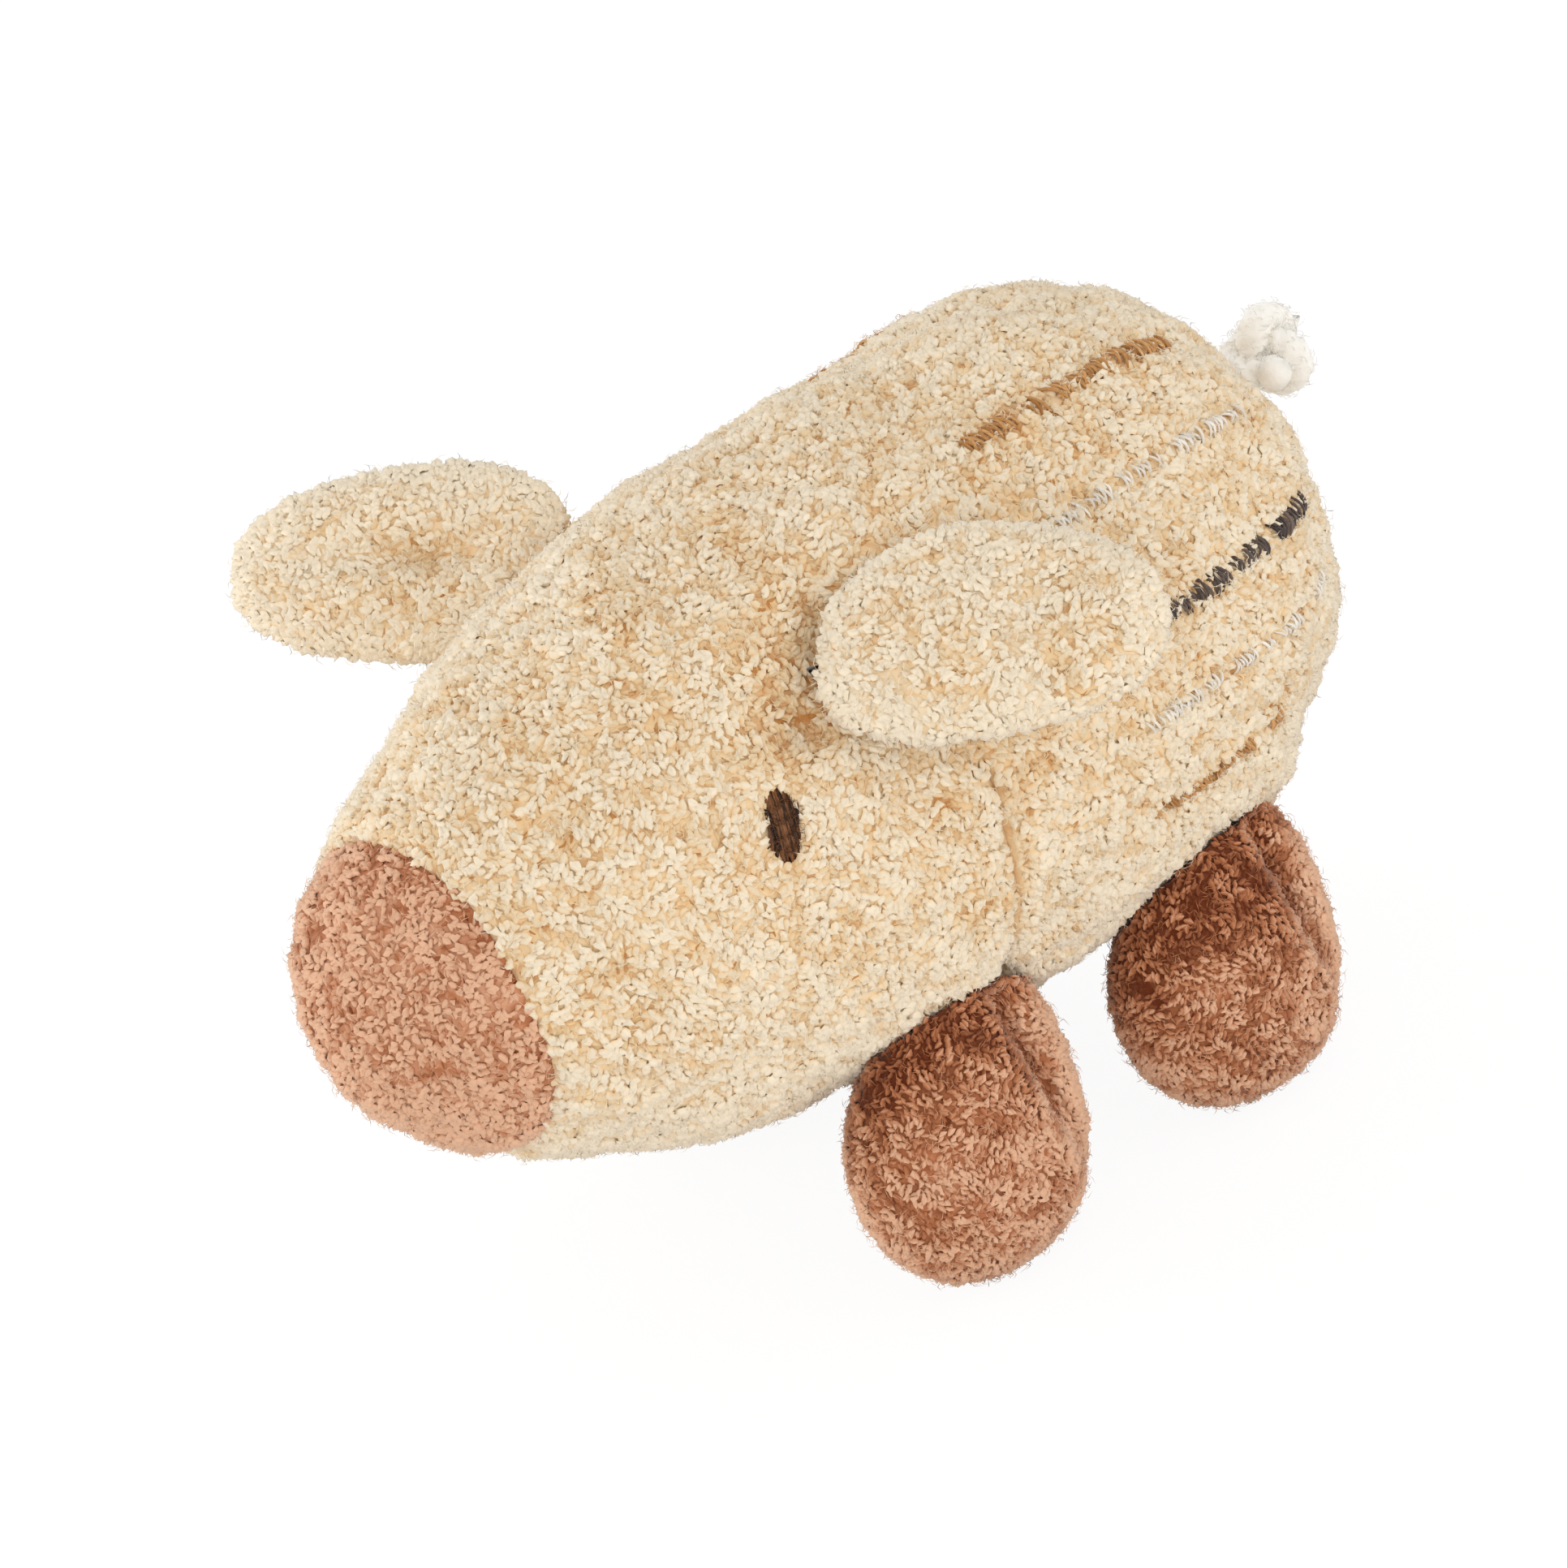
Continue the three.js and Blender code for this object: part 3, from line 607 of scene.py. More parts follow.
turns = meridian(0.0, turn_at(SNOUT_SEAM - EDGE_GAP), SNOUT_ROWS)
all_round = np.full(len(turns), np.pi)
cover("snout", turns, -all_round, all_round, loop_place < SNOUT_SEAM - SNOUT_BARE,
      "terracotta_terry", 41, "snout_cover", length=1.4, width=1.05, height=0.45)
turns = meridian(turn_at(SNOUT_SEAM + EDGE_GAP), turn_at(NECK_SEAM - EDGE_GAP), HEAD_ROWS)
cover("head", turns, -belly_edge(turns), belly_edge(turns),
      on_side & (loop_place > SNOUT_SEAM + HEAD_BARE) & (loop_place < NECK_SEAM - neck_bare),
      "cream_terry", 42, "head_cover")
turns = meridian(turn_at(NECK_SEAM + EDGE_GAP), np.pi, TORSO_ROWS)
cover("torso", turns, -belly_edge(turns), belly_edge(turns), on_side & (loop_place > NECK_SEAM + neck_bare),
      "cream_terry", 43, "torso_cover", "body_stuffing")
turns = meridian(turn_at(BELLY_FRONT), turn_at(BELLY_REAR), BELLY_ROWS)
cover("belly", turns, belly_edge(turns), 2 * np.pi - belly_edge(turns), on_belly,
      "cream_terry", 44, "belly_panel")

# Stitches: each thread of satin stitch is a soft twisted strand that crosses its stripe, or runs along
# the eye, and dips into the pile at both ends. Embroidery thread is finer and glossier than the pile,
# and its strands are a little lighter and darker than their neighbours.
SIDES = (("left", 1), ("right", -1))
THREADS = {  # the material's name, its dark and light colours, and its sheen
    "brown_thread": ("brown_embroidery_thread", "a56d30", "dfac6e", 0.15),
    "white_thread": ("white_embroidery_thread", "e6dccd", "fbf6ee", 0.15),
    "dark_thread": ("dark_embroidery_thread", "2c1f1b", "75635a", 0.15),
    "amber_thread": ("amber_embroidery_thread", "a87339", "dba76b", 0.15),
    "eye_thread": ("dark_brown_embroidery_thread", "0c0402", "93603a", 0.0),
}
thread_materials = {
    slot: yarn_material(name, ((0.25, dark), (1.0, light)), 0.0, {"tone": 1.0, "fluff": 0.5},
                        grain=(0.5, 2.0, 0.5), bumps=(0.4, 0.15), Roughness=0.6,
                        Specular__IOR__Level=0.3, Sheen__Weight=sheen)
    for slot, (name, dark, light, sheen) in THREADS.items()
}
THREAD_SWELL = np.array([0.75, 1, 1.05, 1, 0.95, 0.7])  # thickness of each of a thread's rings
THREAD_SIDES = 5
STITCH_PITCH = 0.55  # between two threads along a stripe
STITCH_RISE, STITCH_DIP = 0.95, -0.85  # the threads' middles and ends, from the tips of the pile
DROPPED = {"brown_thread": -0.6, "white_thread": -0.55, "dark_thread": -0.75, "amber_thread": -1.1}
# Two rows end in a tuft: the bare stretch and the tuft start this far before the end, and then come
# the half width of the tuft, for the row's width, and how wide the rest of the row is.
TUFTS = {
    "lower_amber": (8.0, 3.0, 0.75, 0.72),
    "dark": (3.6, 2.2, 0.6, 1.0),
}


def threads(name, start, middle, end, radius, slot, tone, fuzz, replaced):
    """Threads as one mesh: each follows the curve start*(1-t)^2 + 2*middle*t*(1-t) + end*t^2 through
    six rings, closes in a point at both ends and sheds fuzz loose fibres."""
    count, sides = len(start), THREAD_SIDES
    t = np.linspace(0.02, 0.98, len(THREAD_SWELL))[None, :, None]
    curve = start[:, None] * (1 - t) ** 2 + 2 * middle[:, None] * t * (1 - t) + end[:, None] * t ** 2
    run = unit(np.gradient(curve, axis=1))
    side = unit(np.cross(run, curve * [1, 0, 1]))
    up = np.cross(side, run)
    turn = np.linspace(0, 2 * np.pi, sides, endpoint=False)[None, None, :, None]
    thick = radius[:, None, None, None] * THREAD_SWELL[None, :, None, None]
    ring = curve[:, :, None] + thick * (side[:, :, None] * np.cos(turn) + up[:, :, None] * np.sin(turn))
    points = np.concatenate([start[:, None], ring.reshape(count, -1, 3), end[:, None]], 1)
    size = points.shape[1]
    across = np.linspace(0, 1, size)
    uv = np.stack(np.broadcast_arrays(np.arange(count)[:, None] / count + across / count * 0.9, across), -1)
    rng = np.random.default_rng(count)
    shed, at = np.repeat(np.arange(count), fuzz), rng.integers(1, 5, count * fuzz)
    hairs, hair_faces = fluff_on(curve[shed, at] - 0.1 * up[shed, at], up[shed, at], rng, 1.1, 0.035)
    uv = np.concatenate([uv.reshape(-1, 2), np.repeat(uv[shed, at], FIBRE_POINTS, 0)])
    faces = np.concatenate([tubes(count, len(THREAD_SWELL), sides), hair_faces + count * size])
    points = np.concatenate([points.reshape(-1, 3), hairs])
    tone = np.concatenate([np.repeat(tone, size), np.repeat(rng.uniform(0, 1, len(shed)), FIBRE_POINTS)])
    made = piece_of(name, points, faces, uv[faces], (tone, 1, 0.5), thread_materials[slot])
    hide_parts(replaced)
    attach(made, "body")


def on_body(angle, place, lift):
    """A point above the body's surface by its angle and its place along the body."""
    return body_point(angle, turn_at(place), lift)


stitch_rng = np.random.default_rng(8)
for side_name, sign in SIDES:
    for kind, (degrees, start, end, wide, slot) in STRIPES.items():
        at = np.arange(start + 0.4, end - 0.3, STITCH_PITCH)
        count = len(at)
        lift = 0.15 + stitch_rng.normal(0, 0.12, count)
        half = wide / 2 * stitch_rng.uniform(0.55, 1.15, count)
        slant = np.where(np.arange(count) % 2, 0.75, -0.15) + stitch_rng.normal(0, 0.2, count)
        kept = waves(np.outer(at, [1.0, 0.6, 0.3]) + degrees, 2.8, 51) > DROPPED[slot]
        if kind in TUFTS:
            bare, tuft, tuft_half, row_half = TUFTS[kind]
            kept = (kept & (at < end - bare)) | (at > end - tuft)
            half = np.where(at > end - tuft, wide * tuft_half, half * row_half)
        at, lift, half, slant = (value[kept] for value in (at, lift, half, slant))
        spread = half / outline(turn_at(at))[0]
        mid = sign * np.radians(degrees)
        low = on_body(mid - spread, at - slant, lift + STITCH_DIP)
        high = on_body(mid + spread, at + slant, lift + STITCH_DIP)
        top = on_body(np.full(len(at), mid), at, lift + STITCH_RISE)
        radius = (0.2 if slot == "white_thread" else 0.25) * stitch_rng.uniform(0.8, 1.2, len(at))
        threads(f"{side_name}_{kind}_stitches", low, top, high, radius, slot,
                stitch_rng.uniform(0, 0.75, len(at)), 5, f"{side_name}_{kind}_stripe")

# Eyes: an upright oval of dark brown satin stitch on each cheek, padded by the stitches under it.
# Two threads lie in each column and end raggedly.
EYE_COLUMNS, EYE_FILL = 17, 0.86  # the outer columns stand at this share of the half width
EYE_DIP, EYE_CROWN = -1.1, 1.8  # how far out the threads' ends and the middle one's top lie
EYE_DOME = 0.7  # the outer columns lie this much lower
EYE_TOP, EYE_FOOT, EYE_EDGE = (2.6, 0.5), (2.2, 0.6), 0.92  # powers of the oval's ends, and its edge
for side_name, sign in SIDES:
    columns = np.repeat(np.linspace(-1, 1, EYE_COLUMNS), 2)
    count = len(columns)
    shift = stitch_rng.normal(0, 0.06, count)
    ragged = EYE_HEIGHT / 2 * stitch_rng.uniform(0.98, 1.03, (2, count))
    above, below = (ends * (1 - np.abs(columns * EYE_EDGE) ** inner) ** outer
                    for ends, (inner, outer) in zip(ragged, (EYE_TOP, EYE_FOOT)))
    place = EYE_PLACE + columns * EYE_WIDTH / 2 * EYE_FILL + shift
    mid = sign * EYE_ANGLE
    slant = EYE_SLANT + stitch_rng.normal(0, 0.22, count)
    low = on_body(mid - sign * above / radius_at_eye, place + slant, np.full(count, EYE_DIP))
    high = on_body(mid + sign * below / radius_at_eye, place - slant, np.full(count, EYE_DIP))
    crown = EYE_CROWN - EYE_DOME * columns ** 2 + stitch_rng.normal(0, 0.22, count)
    top = on_body(np.full(count, mid), place, crown)
    radius = stitch_rng.uniform(0.22, 0.36, count)
    tone = stitch_rng.uniform(-0.12, 0.75, count) * (1 - 0.4 * np.abs(columns))
    threads(f"{side_name}_eye_stitches", low, top, high, radius, "eye_thread", tone, 16, f"{side_name}_eye")

# Legs: four flat pads of terracotta terry, each two panels sewn round their rim, stuffed, and sewn on
# under the edge of the belly panel. The rim's seam pulls in, the foot is fuller than the top, and the
# upper rear corner runs up into the seam.
LEG_ANGLE = np.radians(127)
LEG_PLACES = {"front": 73.6, "rear": 126.3}
LEG_HALF = np.array([20.0, 0.0, 12.6])  # half width and half thickness; the height follows the floor
FAR_SPLAY, FAR_TRAIL = np.radians(20), np.radians(20)  # the front right leg stands out and trails back
LEG_FULLNESS = 2.3  # power of the outline
LEG_SWELL, LEG_WIDEN = 0.16, 0.02  # how much thicker and wider the foot is
LEG_INSET, LEG_RISE = 3.6, 3.0  # how far the pad is set in under the body and up past its seam
LEG_BACK = {"front": 0.6, "rear": -0.8}  # the stuffed pad lies this far behind the middle of its seam
LEG_HEEL = 0.12  # how far the foot is drawn back to its heel, as a share of its half width
FOLD_PLACE, FOLD_SLANT, FOLD_DEPTH, CORNER_DROP = -0.56, 0.3, 0.42, 0.24  # shares of the half sizes
SOLE_FLAT = 0.5  # this much of the foot is pressed flat on the floor
LEG_DENSITY = 1.5
LEG_SHADE_REACH = {"front": 9.0, "rear": 12.0}  # painted shadow of the body browns the pile this far from where a leg meets the body
# how much each leg is darkened all over; the rear legs are darker, as painted shade for the body's shadow
LEG_SHADE_OFFSET = {"front": -0.12, "rear": -0.02}
# painted shadow of the body over the top of each leg
LEG_TOP_SHADE = {"front": 0.25, "rear": 0.6}
FLOOR = -(ORIGIN[2] / MM)
SEAM_GAP = 0.3  # a limb's seam lies this far off the body's surface
PAD_CORE = np.array([0.8, 0.85, 0.1])  # shares of a pad's width, height and thickness at its core
PAD_COLUMNS, PAD_ROWS = 56, 40


def pad_point(u, v, half, fullness, shape):
    """A stuffed pad: the unit sphere with its poles on the tall axis, whose outline from the front is
    a superellipse. shape then reshapes it in shares of its half sizes (wide, tall, thick)."""
    x, y, z = np.sin(v) * np.cos(u), -np.cos(v) + 0 * u, np.sin(v) * np.sin(u)
    spread = np.maximum(np.hypot(x, y), 1e-9)
    c, s = np.abs(x / spread), np.abs(y / spread)
    k = (c ** fullness + s ** fullness) ** (-1 / fullness)
    x, y, z = shape(x * k, y * k, z)
    return np.stack([x * half[0], y * half[1], z * half[2]], -1)


def off_body(points, gap=0.2):
    """Points that would lie inside the body, moved straight out to its surface."""
    radius = outline(turn_at(points[..., 1]))[0] + gap
    found = np.hypot(points[..., 0], points[..., 2])
    out = np.where((found < radius) & (radius > gap + 1), radius / np.maximum(found, 1e-6), 1.0)
    return points * np.stack([out, np.ones_like(out), out], -1)


def terry_pad(name, surface, density, place_seed, loop_seed, slot, shade, **pile):
    """A pad of terry over a closed surface of two parameters."""
    share_u, share_v = np.linspace(0, 1, PAD_COLUMNS + 1), np.linspace(0, 1, PAD_ROWS + 1)
    u, v = np.meshgrid(share_u * 2 * np.pi, share_v * np.pi)
    uv = np.stack(np.meshgrid(share_u, share_v), -1).reshape(-1, 2)
    faces = triangles_of(np.arange(u.size).reshape(u.shape))
    ground = welded(surface(u, v).reshape(-1, 3), faces, uv)
    rng = np.random.default_rng(place_seed)
    u, v = even_places(surface, (0, 2 * np.pi), (0.02, np.pi - 0.02), density, rng, 160, 120)
    places = framed(surface, u, v, surface(u, v, PAD_CORE))
    return terry_piece(name, ground, places, slot, loop_seed, shade, **pile)


def seam_at(sign, angle, place):
    """The place of a limb's seam on the body."""
    radius = outline(turn_at(place))[0] + SEAM_GAP
    return np.array([sign * radius * np.sin(angle), place, radius * np.cos(angle)])


def settled(points):
    """Pile that would go through the floor lies flat on it."""
    low = points[:, 2] < FLOOR + 0.05
    points[low, 2] = FLOOR + 0.05
    return points


for end_name, leg_place in LEG_PLACES.items():
    for side_name, sign in SIDES:
        hinge = seam_at(sign, LEG_ANGLE, leg_place)
        splay, trail = (FAR_SPLAY, FAR_TRAIL) if (end_name, sign) == ("front", -1) else (0, 0)
        upright_share = np.cos(splay) * np.cos(trail)
        reach = hinge[2] + LEG_RISE * upright_share - FLOOR + SOLE_FLAT
        rim = np.hypot(LEG_HALF[2] * (1 + LEG_SWELL) * np.sin(splay), LEG_HALF[0] * np.sin(trail))
        tallest = (reach ** 2 - rim ** 2) / (2 * reach) / upright_share
        lean = np.array(Matrix.Rotation(trail, 3, "X") @ Matrix.Rotation(-sign * splay, 3, "Y"))
        middle = hinge + [-sign * LEG_INSET, LEG_BACK[end_name], LEG_RISE - tallest]
        half = LEG_HALF + [GROUND, tallest + GROUND, GROUND]

        def leg_shape(x, y, z):
            """Fuller and wider at the foot, whose heel is the fullest, and drawn up at the top to its
            rear corner. A fold runs down the outer face along the rear rim."""
            top, foot = np.clip(-y, 0, 1), np.clip(y, 0, 1)
            fold = fade(x - FOLD_PLACE + FOLD_SLANT * y, 0.12) * np.clip(0.9 - 0.9 * y, 0, 1)
            z = z * (1 + LEG_SWELL * y) * (1 - FOLD_DEPTH * fold * (z > 0))
            y = y - CORNER_DROP * top * np.clip(-x, 0, 1)
            x = x * (1 + LEG_WIDEN * y) * (1 - 0.3 * top ** 2) - 0.2 * top ** 1.6 - LEG_HEEL * foot ** 2
            return x, y, z

        def leg_point(u, v, share=1.0):
            """A point of this leg, in the body's millimetres: wide along the body, tall downwards and
            thick outwards, laid against the body where they meet. A share under 1 gives one inside."""
            pad = pad_point(u, v, half, LEG_FULLNESS, leg_shape) * share
            hung = middle - hinge + np.stack([sign * pad[..., 2], -pad[..., 0], -pad[..., 1]], -1)
            return off_body(hinge + hung @ lean.T)

        def leg_shade(points):
            """Painted shade and light: browner at the top, in the body's shadow where the leg meets it, and
            in the crease along its fold, and paler on its rear rim with a painted highlight."""
            gap = np.hypot(points[:, 0], points[:, 2]) - outline(turn_at(points[:, 1]))[0]
            behind = (points[:, 1] - middle[1]) / half[0]
            below = (middle[2] - points[:, 2]) / half[1]
            past_fold = behind - 0.5 - FOLD_SLANT * below
            fold = fade(past_fold, 0.16) * smooth_step(FLOOR + 14, FLOOR + 38, points[:, 2])
            # painted shadow of the body where the leg meets it
            body_shadow = np.exp(-np.maximum(gap, 0) / LEG_SHADE_REACH[end_name])
            top = LEG_TOP_SHADE[end_name] * smooth_step(FLOOR + 26, FLOOR + 42, points[:, 2])
            rear_rim = smooth_step(0.06, 0.24, past_fold)
            return 1.3 * body_shadow + 0.3 * fold - 0.85 * rear_rim + top + LEG_SHADE_OFFSET[end_name]

        leg = f"{end_name}_{side_name}_leg"
        place_seed = 60 + 2 * (end_name == "rear") + (sign < 0)
        made = terry_pad(leg, leg_point, LEG_DENSITY, place_seed, 70 + sign, "terracotta_terry", leg_shade,
                         length=1.3, width=0.95, height=0.45, comb=np.pi / 2, settle=settled, deepest=-0.3)
        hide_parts(f"{leg}_cover", f"{leg}_stuffing")
        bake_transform(made)

# Ears: two cream panels sewn round their rim, lightly stuffed, and sewn along a slanting line on the
# head. The near ear folds back against the body, and the far one stands out with a soft valley along
# its face.
EAR_BACK, EAR_FRONT = (np.radians(39), 87.6), (np.radians(54), 68.6)
EAR_SIZES = {"left": (16.8, 25.2, 6.4), "right": (15.1, 27.0, 6.4)}  # half sizes: wide, long, thick
EAR_FULLNESS, EAR_TAPER, EAR_SUNK = 2.5, 0.17, 4.0  # outline's power, taper, and length in the seam
EAR_CORNER_CUT = {"left": 0.5, "right": 0.15}  # how far the rear corner of the root is drawn in
EAR_VALLEY_DEPTH = {"left": 0.1, "right": 1.0}
EAR_DARK_SPOT = np.array([68.4, 88.1, 25.5])  # a darker spot near the tip of the left ear
EAR_POSES = {"left": (0.83, 0.55, -0.08), "right": (-0.83, -0.55, 0.065)}  # where their tips point
EAR_DENSITY = 1.1
for side_name, sign in SIDES:
    ends = [seam_at(sign, *end) for end in (EAR_BACK, EAR_FRONT)]
    hinge = (ends[0] + ends[1]) / 2
    axis = unit(ends[1] - ends[0]) * sign
    points_to = unit(np.array(EAR_POSES[side_name]))
    faces_to = unit(np.cross(axis, points_to))
    across = np.cross(points_to, faces_to)
    half = np.array(EAR_SIZES[side_name]) + GROUND
    middle = hinge + points_to * (EAR_SIZES[side_name][1] - EAR_SUNK)

    def ear_shape(x, y, z):
        """Narrower towards the tip and at the rear corner of its root, with a soft valley along the
        upper face and low ridges across it."""
        valley = fade(x, 0.26) * fade(y + 0.2, 0.42)
        ridges = 0.08 * np.sin(8 * y + 2.5 * np.sin(2 * x + 1)) + 0.06 * np.sin(5 * x - 4 * y)
        z = np.where(z > 0, z * (1 + ridges - EAR_VALLEY_DEPTH[side_name] * valley), z)
        corner = np.clip(-y, 0, 1) ** 2 * (x * sign < 0)
        x = x * (1 - EAR_TAPER * y) * (1 - EAR_CORNER_CUT[side_name] * corner)
        return x, y, z

    def ear_point(u, v, share=1.0):
        """A point of this ear in the body's millimetres, laid against the body where they meet."""
        pad = pad_point(u, v, half, EAR_FULLNESS, ear_shape) * share
        return off_body(middle + pad[..., :1] * across + pad[..., 1:2] * points_to + pad[..., 2:] * faces_to)

    def ear_shade(points):
        """Painted light and shade: a painted highlight makes the rim paler, painted shade browns the far
        ear's valley, a darker spot lies near the near ear's tip, and the whole ear is a little paler."""
        x, y = ((points - middle) @ across) / half[0], ((points - middle) @ points_to) / half[1]
        rim = smooth_step(0.72, 0.95, (np.abs(x) ** 2.2 + np.abs(y) ** 2.2) ** (1 / 2.2))
        valley = fade(x, 0.32) * fade(y + 0.2, 0.42) * (sign < 0)
        darkened = fade(np.linalg.norm((points - EAR_DARK_SPOT) * [0.6, 1, 1], axis=1), 3.5) * (sign > 0)
        return 0.36 * valley + 0.9 * darkened - 0.45 * rim - 0.2

    made = terry_pad(f"{side_name}_ear_panels", ear_point, EAR_DENSITY, 80 + (sign < 0), 90 + sign,
                     "cream_terry", ear_shade)
    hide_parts(f"{side_name}_ear_front", f"{side_name}_ear_back")
    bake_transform(made)

# Tail: a soft off-white cord of spun cotton, tied in one overhand knot with a short loose end. It is
# matt, and a fine fluff softens its twisted strands.
TAIL_ROOT_HEIGHT, TAIL_RISE, TAIL_STEM = 5.0, np.radians(22), 20.0  # the stem's root, slope and length
CORD_RADIUS, CORD_SIDES, CORD_RINGS = 2.4, 14, 150
CORD_TWIST, STRAND_SWELL = 5.5, 0.15  # length of one turn of the cord's strands, and how proud they are
CORD_FLUFF = 1500  # loose fibres on the cord
KNOT_SIZE, KNOT_SPIN = 1.75, np.radians(55)  # the knot is spun by this in the picture's plane
KNOT_START, KNOT_END = 0.5 + np.radians(10), 2 * np.pi - 0.35 + np.radians(10)  # of its route
rump_end = NOSE_LENGTH + RUMP_LENGTH
root = np.array([0, rump_end - 0.5, TAIL_ROOT_HEIGHT])
knot = np.array([0, rump_end + 0.3 + TAIL_STEM * np.cos(TAIL_RISE),
                 TAIL_ROOT_HEIGHT + TAIL_STEM * np.sin(TAIL_RISE)])


def smooth_path(points, count):
    """A curve through points: a Catmull-Rom spline, stepped evenly along its length."""
    padded = np.concatenate([[2 * points[0] - points[1]], points, [2 * points[-1] - points[-2]]])
    t = np.linspace(0, 1, 24, endpoint=False)[:, None]
    parts = [
        0.5 * (2 * q + (r - p) * t + (2 * p - 5 * q + 4 * r - s) * t ** 2 + (3 * q - p - 3 * r + s) * t ** 3)
        for p, q, r, s in zip(padded[:-3], padded[1:-2], padded[2:-1], padded[3:])
    ]
    fine = np.concatenate([*parts, points[-1:]])
    run = np.concatenate([[0], np.cumsum(np.linalg.norm(np.diff(fine, axis=0), axis=1))])
    steps = np.linspace(0, run[-1], count)
    return np.stack([np.interp(steps, run, fine[:, k]) for k in range(3)], -1), run[-1]


def cord_mesh(name, path, material):
    """A round cord along a path: rings of points round it, swollen along three twisted strands, with
    loose fibres on it."""
    run = unit(np.gradient(path, axis=0))
    frames = [unit(np.cross(run[0], [1.0, 0.2, 0.1]))]
    for k in range(1, len(path)):
        frames.append(unit(frames[-1] - run[k] * (frames[-1] @ run[k])))
    side = np.array(frames)
    over = np.cross(run, side)
    step = np.linalg.norm(np.diff(path, axis=0), axis=1).mean()
    turn = np.linspace(0, 2 * np.pi, CORD_SIDES, endpoint=False)
    twist = 2 * np.pi * np.arange(len(path)) * step / CORD_TWIST
    swell = 0.95 + STRAND_SWELL * np.abs(np.cos(1.5 * (turn[None] - twist[:, None])))
    ring = path[:, None] + CORD_RADIUS * swell[..., None] * (
        side[:, None] * np.cos(turn)[None, :, None] + over[:, None] * np.sin(turn)[None, :, None]
    )
    around = ring.reshape(-1, 3)
    uv = np.stack(np.meshgrid(np.linspace(0, 1, len(path)), turn / (2 * np.pi), indexing="ij"), -1)
    uv = np.concatenate([[[0, 0.5]], uv.reshape(-1, 2), [[1, 0.5]]])
    rng = np.random.default_rng(95)
    shed = rng.permutation(len(around))[:CORD_FLUFF]
    way = unit((ring - path[:, None]).reshape(-1, 3)[shed])
    fluff, fluff_faces = fluff_on(around[shed] - 0.4 * way, way, rng, 1.5, 0.07)
    points = np.concatenate([path[:1] + run[0] * 0.2, around, path[-1:] + run[-1] * 0.7, fluff])
    faces = tubes(1, len(path), CORD_SIDES)[:, ::-1]
    faces = np.concatenate([faces, fluff_faces + len(around) + 2])
    uv = np.concatenate([uv, np.repeat(uv[1 + shed], FIBRE_POINTS, 0)])
    return piece_of(name, points, faces, uv[faces], (0.5, 1, 0.5), material)


# The knot's route is a trefoil, (sin t + 2 sin 2t, cos t - 2 cos 2t, -sin 3t), left open at one place.
t = np.linspace(KNOT_START, KNOT_END, 40)
x, y = np.sin(t) + 2 * np.sin(2 * t), np.cos(t) - 2 * np.cos(2 * t)
c, s = np.cos(KNOT_SPIN), np.sin(KNOT_SPIN)
loop = KNOT_SIZE * np.stack([x * c - y * s, x * s + y * c, -1.15 * np.sin(3 * t)], -1)
picture = np.stack([picture_right, picture_up, back])
knotted = knot + loop @ picture
loose = knotted[-1] + np.array([[0.4, -0.8, 1.6], [0.6, -1.6, 4.2]]) @ picture
path, cord_length = smooth_path(np.concatenate([[root, root + [0, 2.5, 0.8]], knotted, loose]), CORD_RINGS)
cotton = yarn_material(
    "off_white_cotton_cord", ((0.0, "f6f0e4"), (1.0, "fffefa")), 0.0, {"fluff": 1.0}, grain=(0.9, 4.0, 0.5),
    bumps=(0.5, 0.3), Roughness=0.95, Sheen__Weight=0.3, Sheen__Roughness=0.5,
)
tail = cord_mesh("tail_cord", path, cotton)
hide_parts("tail")
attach(tail, "tail")

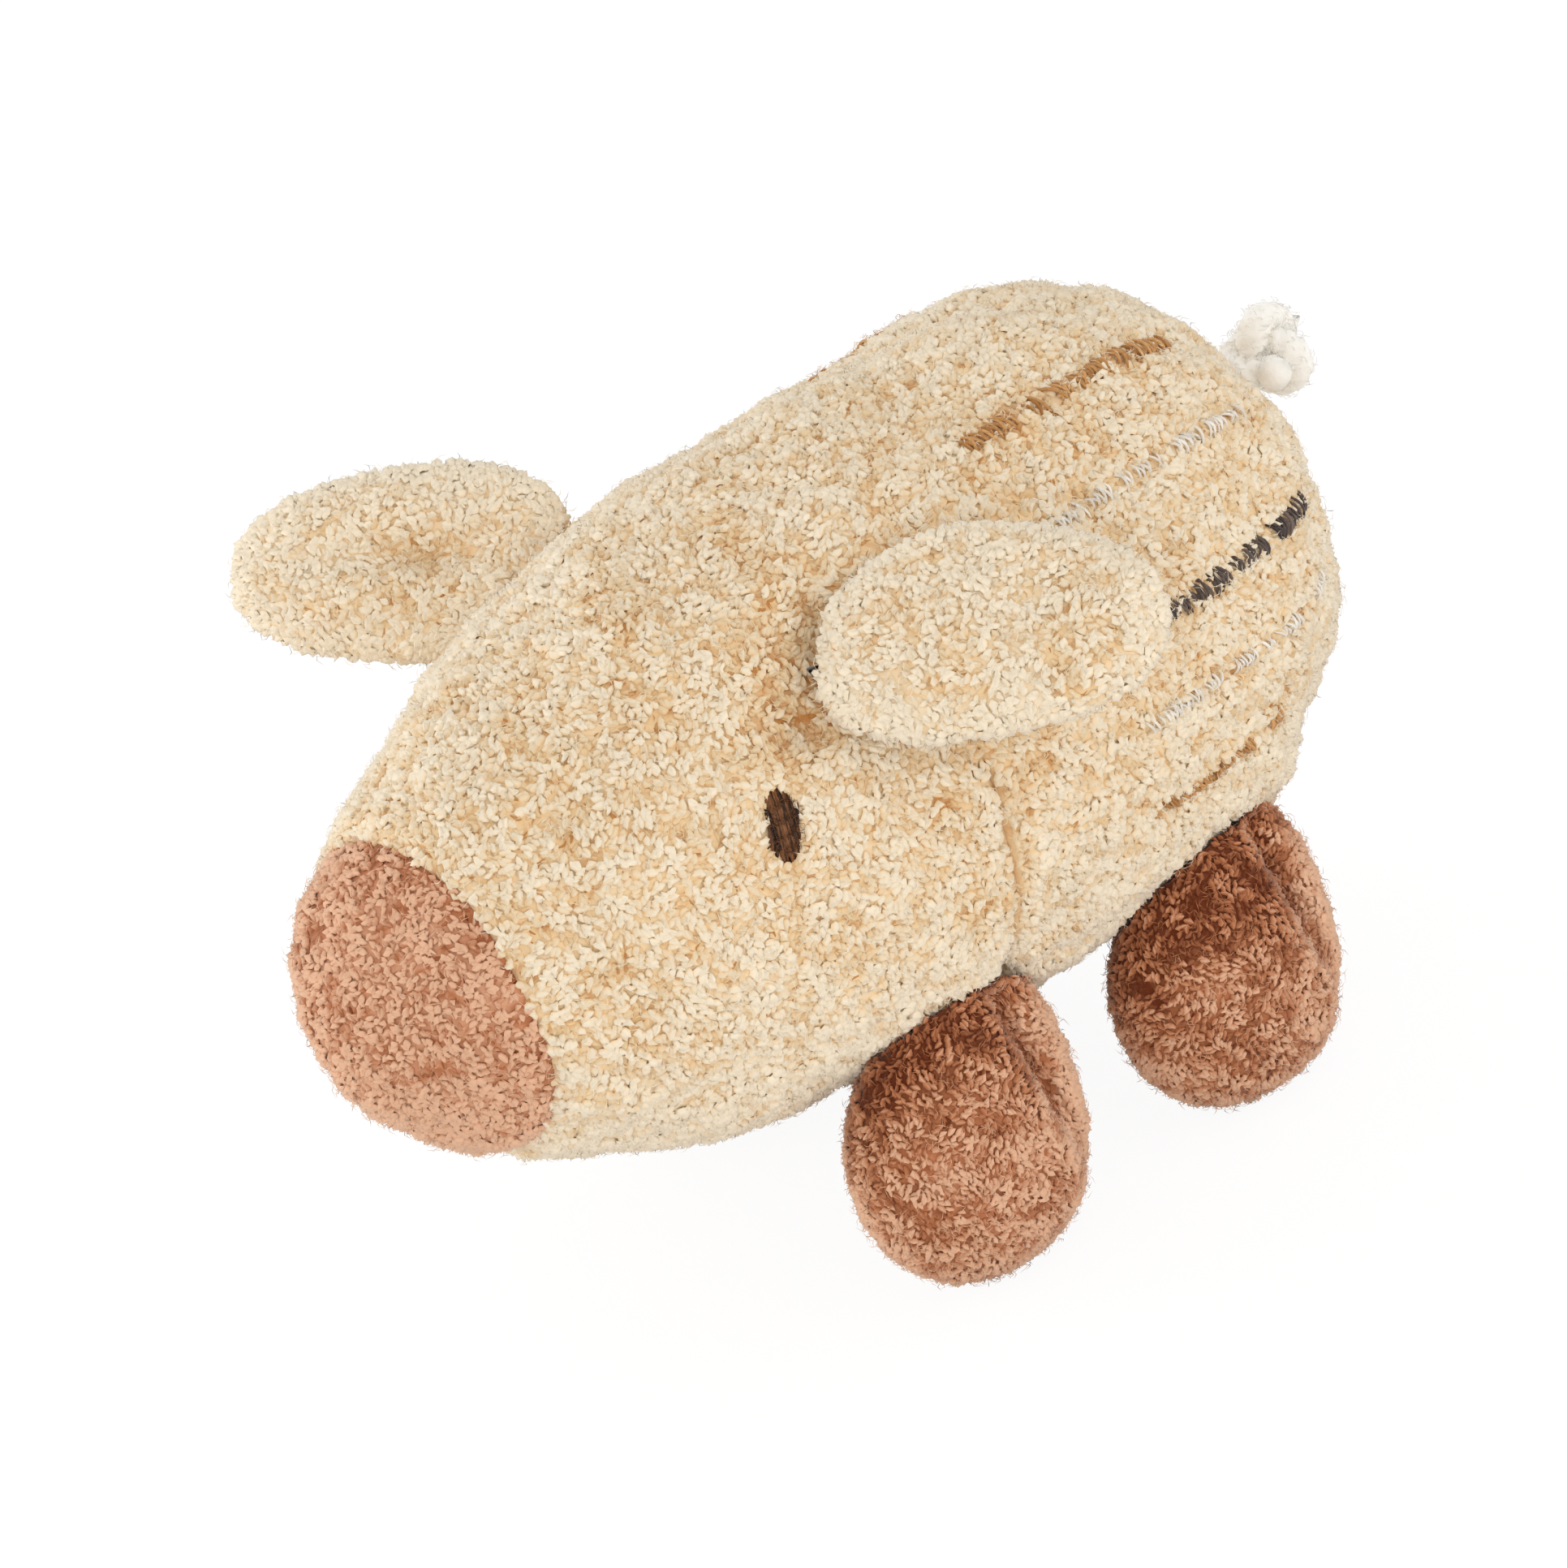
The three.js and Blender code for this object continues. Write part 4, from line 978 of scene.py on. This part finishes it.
# Studio: a plain white floor and a white surround, both a little brighter to the camera than as light,
# with a large soft lamp above and to the left and two weaker ones from the front and the rear.
FLOOR_SIZE = 8.0
PAPER_SHARE, PAPER_GLOW = 0.9, 1.03  # how much of the floor's look is glow, and how bright that is
SKY_LIGHT, SKY_LIFT = 0.85, 0.15
floor_mesh = bpy.data.meshes.new("floor")
corners = FLOOR_SIZE / 2 * np.array([(-1, -1, 0), (1, -1, 0), (1, 1, 0), (-1, 1, 0)])
floor_mesh.from_pydata(corners.tolist(), [], [(0, 1, 2, 3)])
floor = bpy.data.objects.new("floor", floor_mesh)
bpy.context.scene.collection.objects.link(floor)
paper, tree = new_material("white_paper")
rays = node(tree, "LightPath").outputs
seen = rays["Is Camera Ray"]
for ray in ("Is Glossy Ray", "Is Transmission Ray"):
    seen = node(tree, "Math", {"operation": "MAXIMUM"}, _0=seen, _1=rays[ray]).outputs[0]
lifted = node(tree, "Math", {"operation": "MULTIPLY"}, _0=seen, _1=PAPER_SHARE)
matt = node(tree, "BsdfDiffuse", Color=linear("f6f4f2"))
glow = node(tree, "Emission", Color=(1, 1, 1, 1), Strength=PAPER_GLOW)
mixed = node(tree, "MixShader", _0=lifted.outputs[0], _1=matt.outputs[0], _2=glow.outputs[0])
node(tree, "OutputMaterial", Surface=mixed.outputs[0])
floor_mesh.materials.append(paper)

world = bpy.data.worlds.new("surround")
bpy.context.scene.world = world
world.use_nodes = True
tree = world.node_tree
tree.nodes.clear()
seen = node(tree, "LightPath").outputs["Is Camera Ray"]
strength = node(tree, "Math", {"operation": "MULTIPLY_ADD"}, _0=seen, _1=SKY_LIFT, _2=SKY_LIGHT)
sky = node(tree, "Background", Color=(1, 1, 1, 1), Strength=strength.outputs[0])
node(tree, "OutputWorld", Surface=sky.outputs[0])

LAMPS = {  # place, size in metres, power in watts
    "key": ((-1.2, -1.0, 0.55), 0.9, 8.5),
    "front": ((0.9, -1.05, 0.3), 1.0, 3.2),
    "fill": ((1.2, 0.5, 0.5), 0.9, 3.0),
}
LAMP_TARGET = Vector((0, 0, 0.07))
for name, (spot, size, power) in LAMPS.items():
    data = bpy.data.lights.new(name, "AREA")
    data.size, data.energy = size, power
    lamp = bpy.data.objects.new(name, data)
    lamp.location = spot
    lamp.rotation_euler = (LAMP_TARGET - Vector(spot)).to_track_quat("-Z", "Y").to_euler()
    bpy.context.scene.collection.objects.link(lamp)

bpy.context.scene.view_settings.view_transform = "Standard"
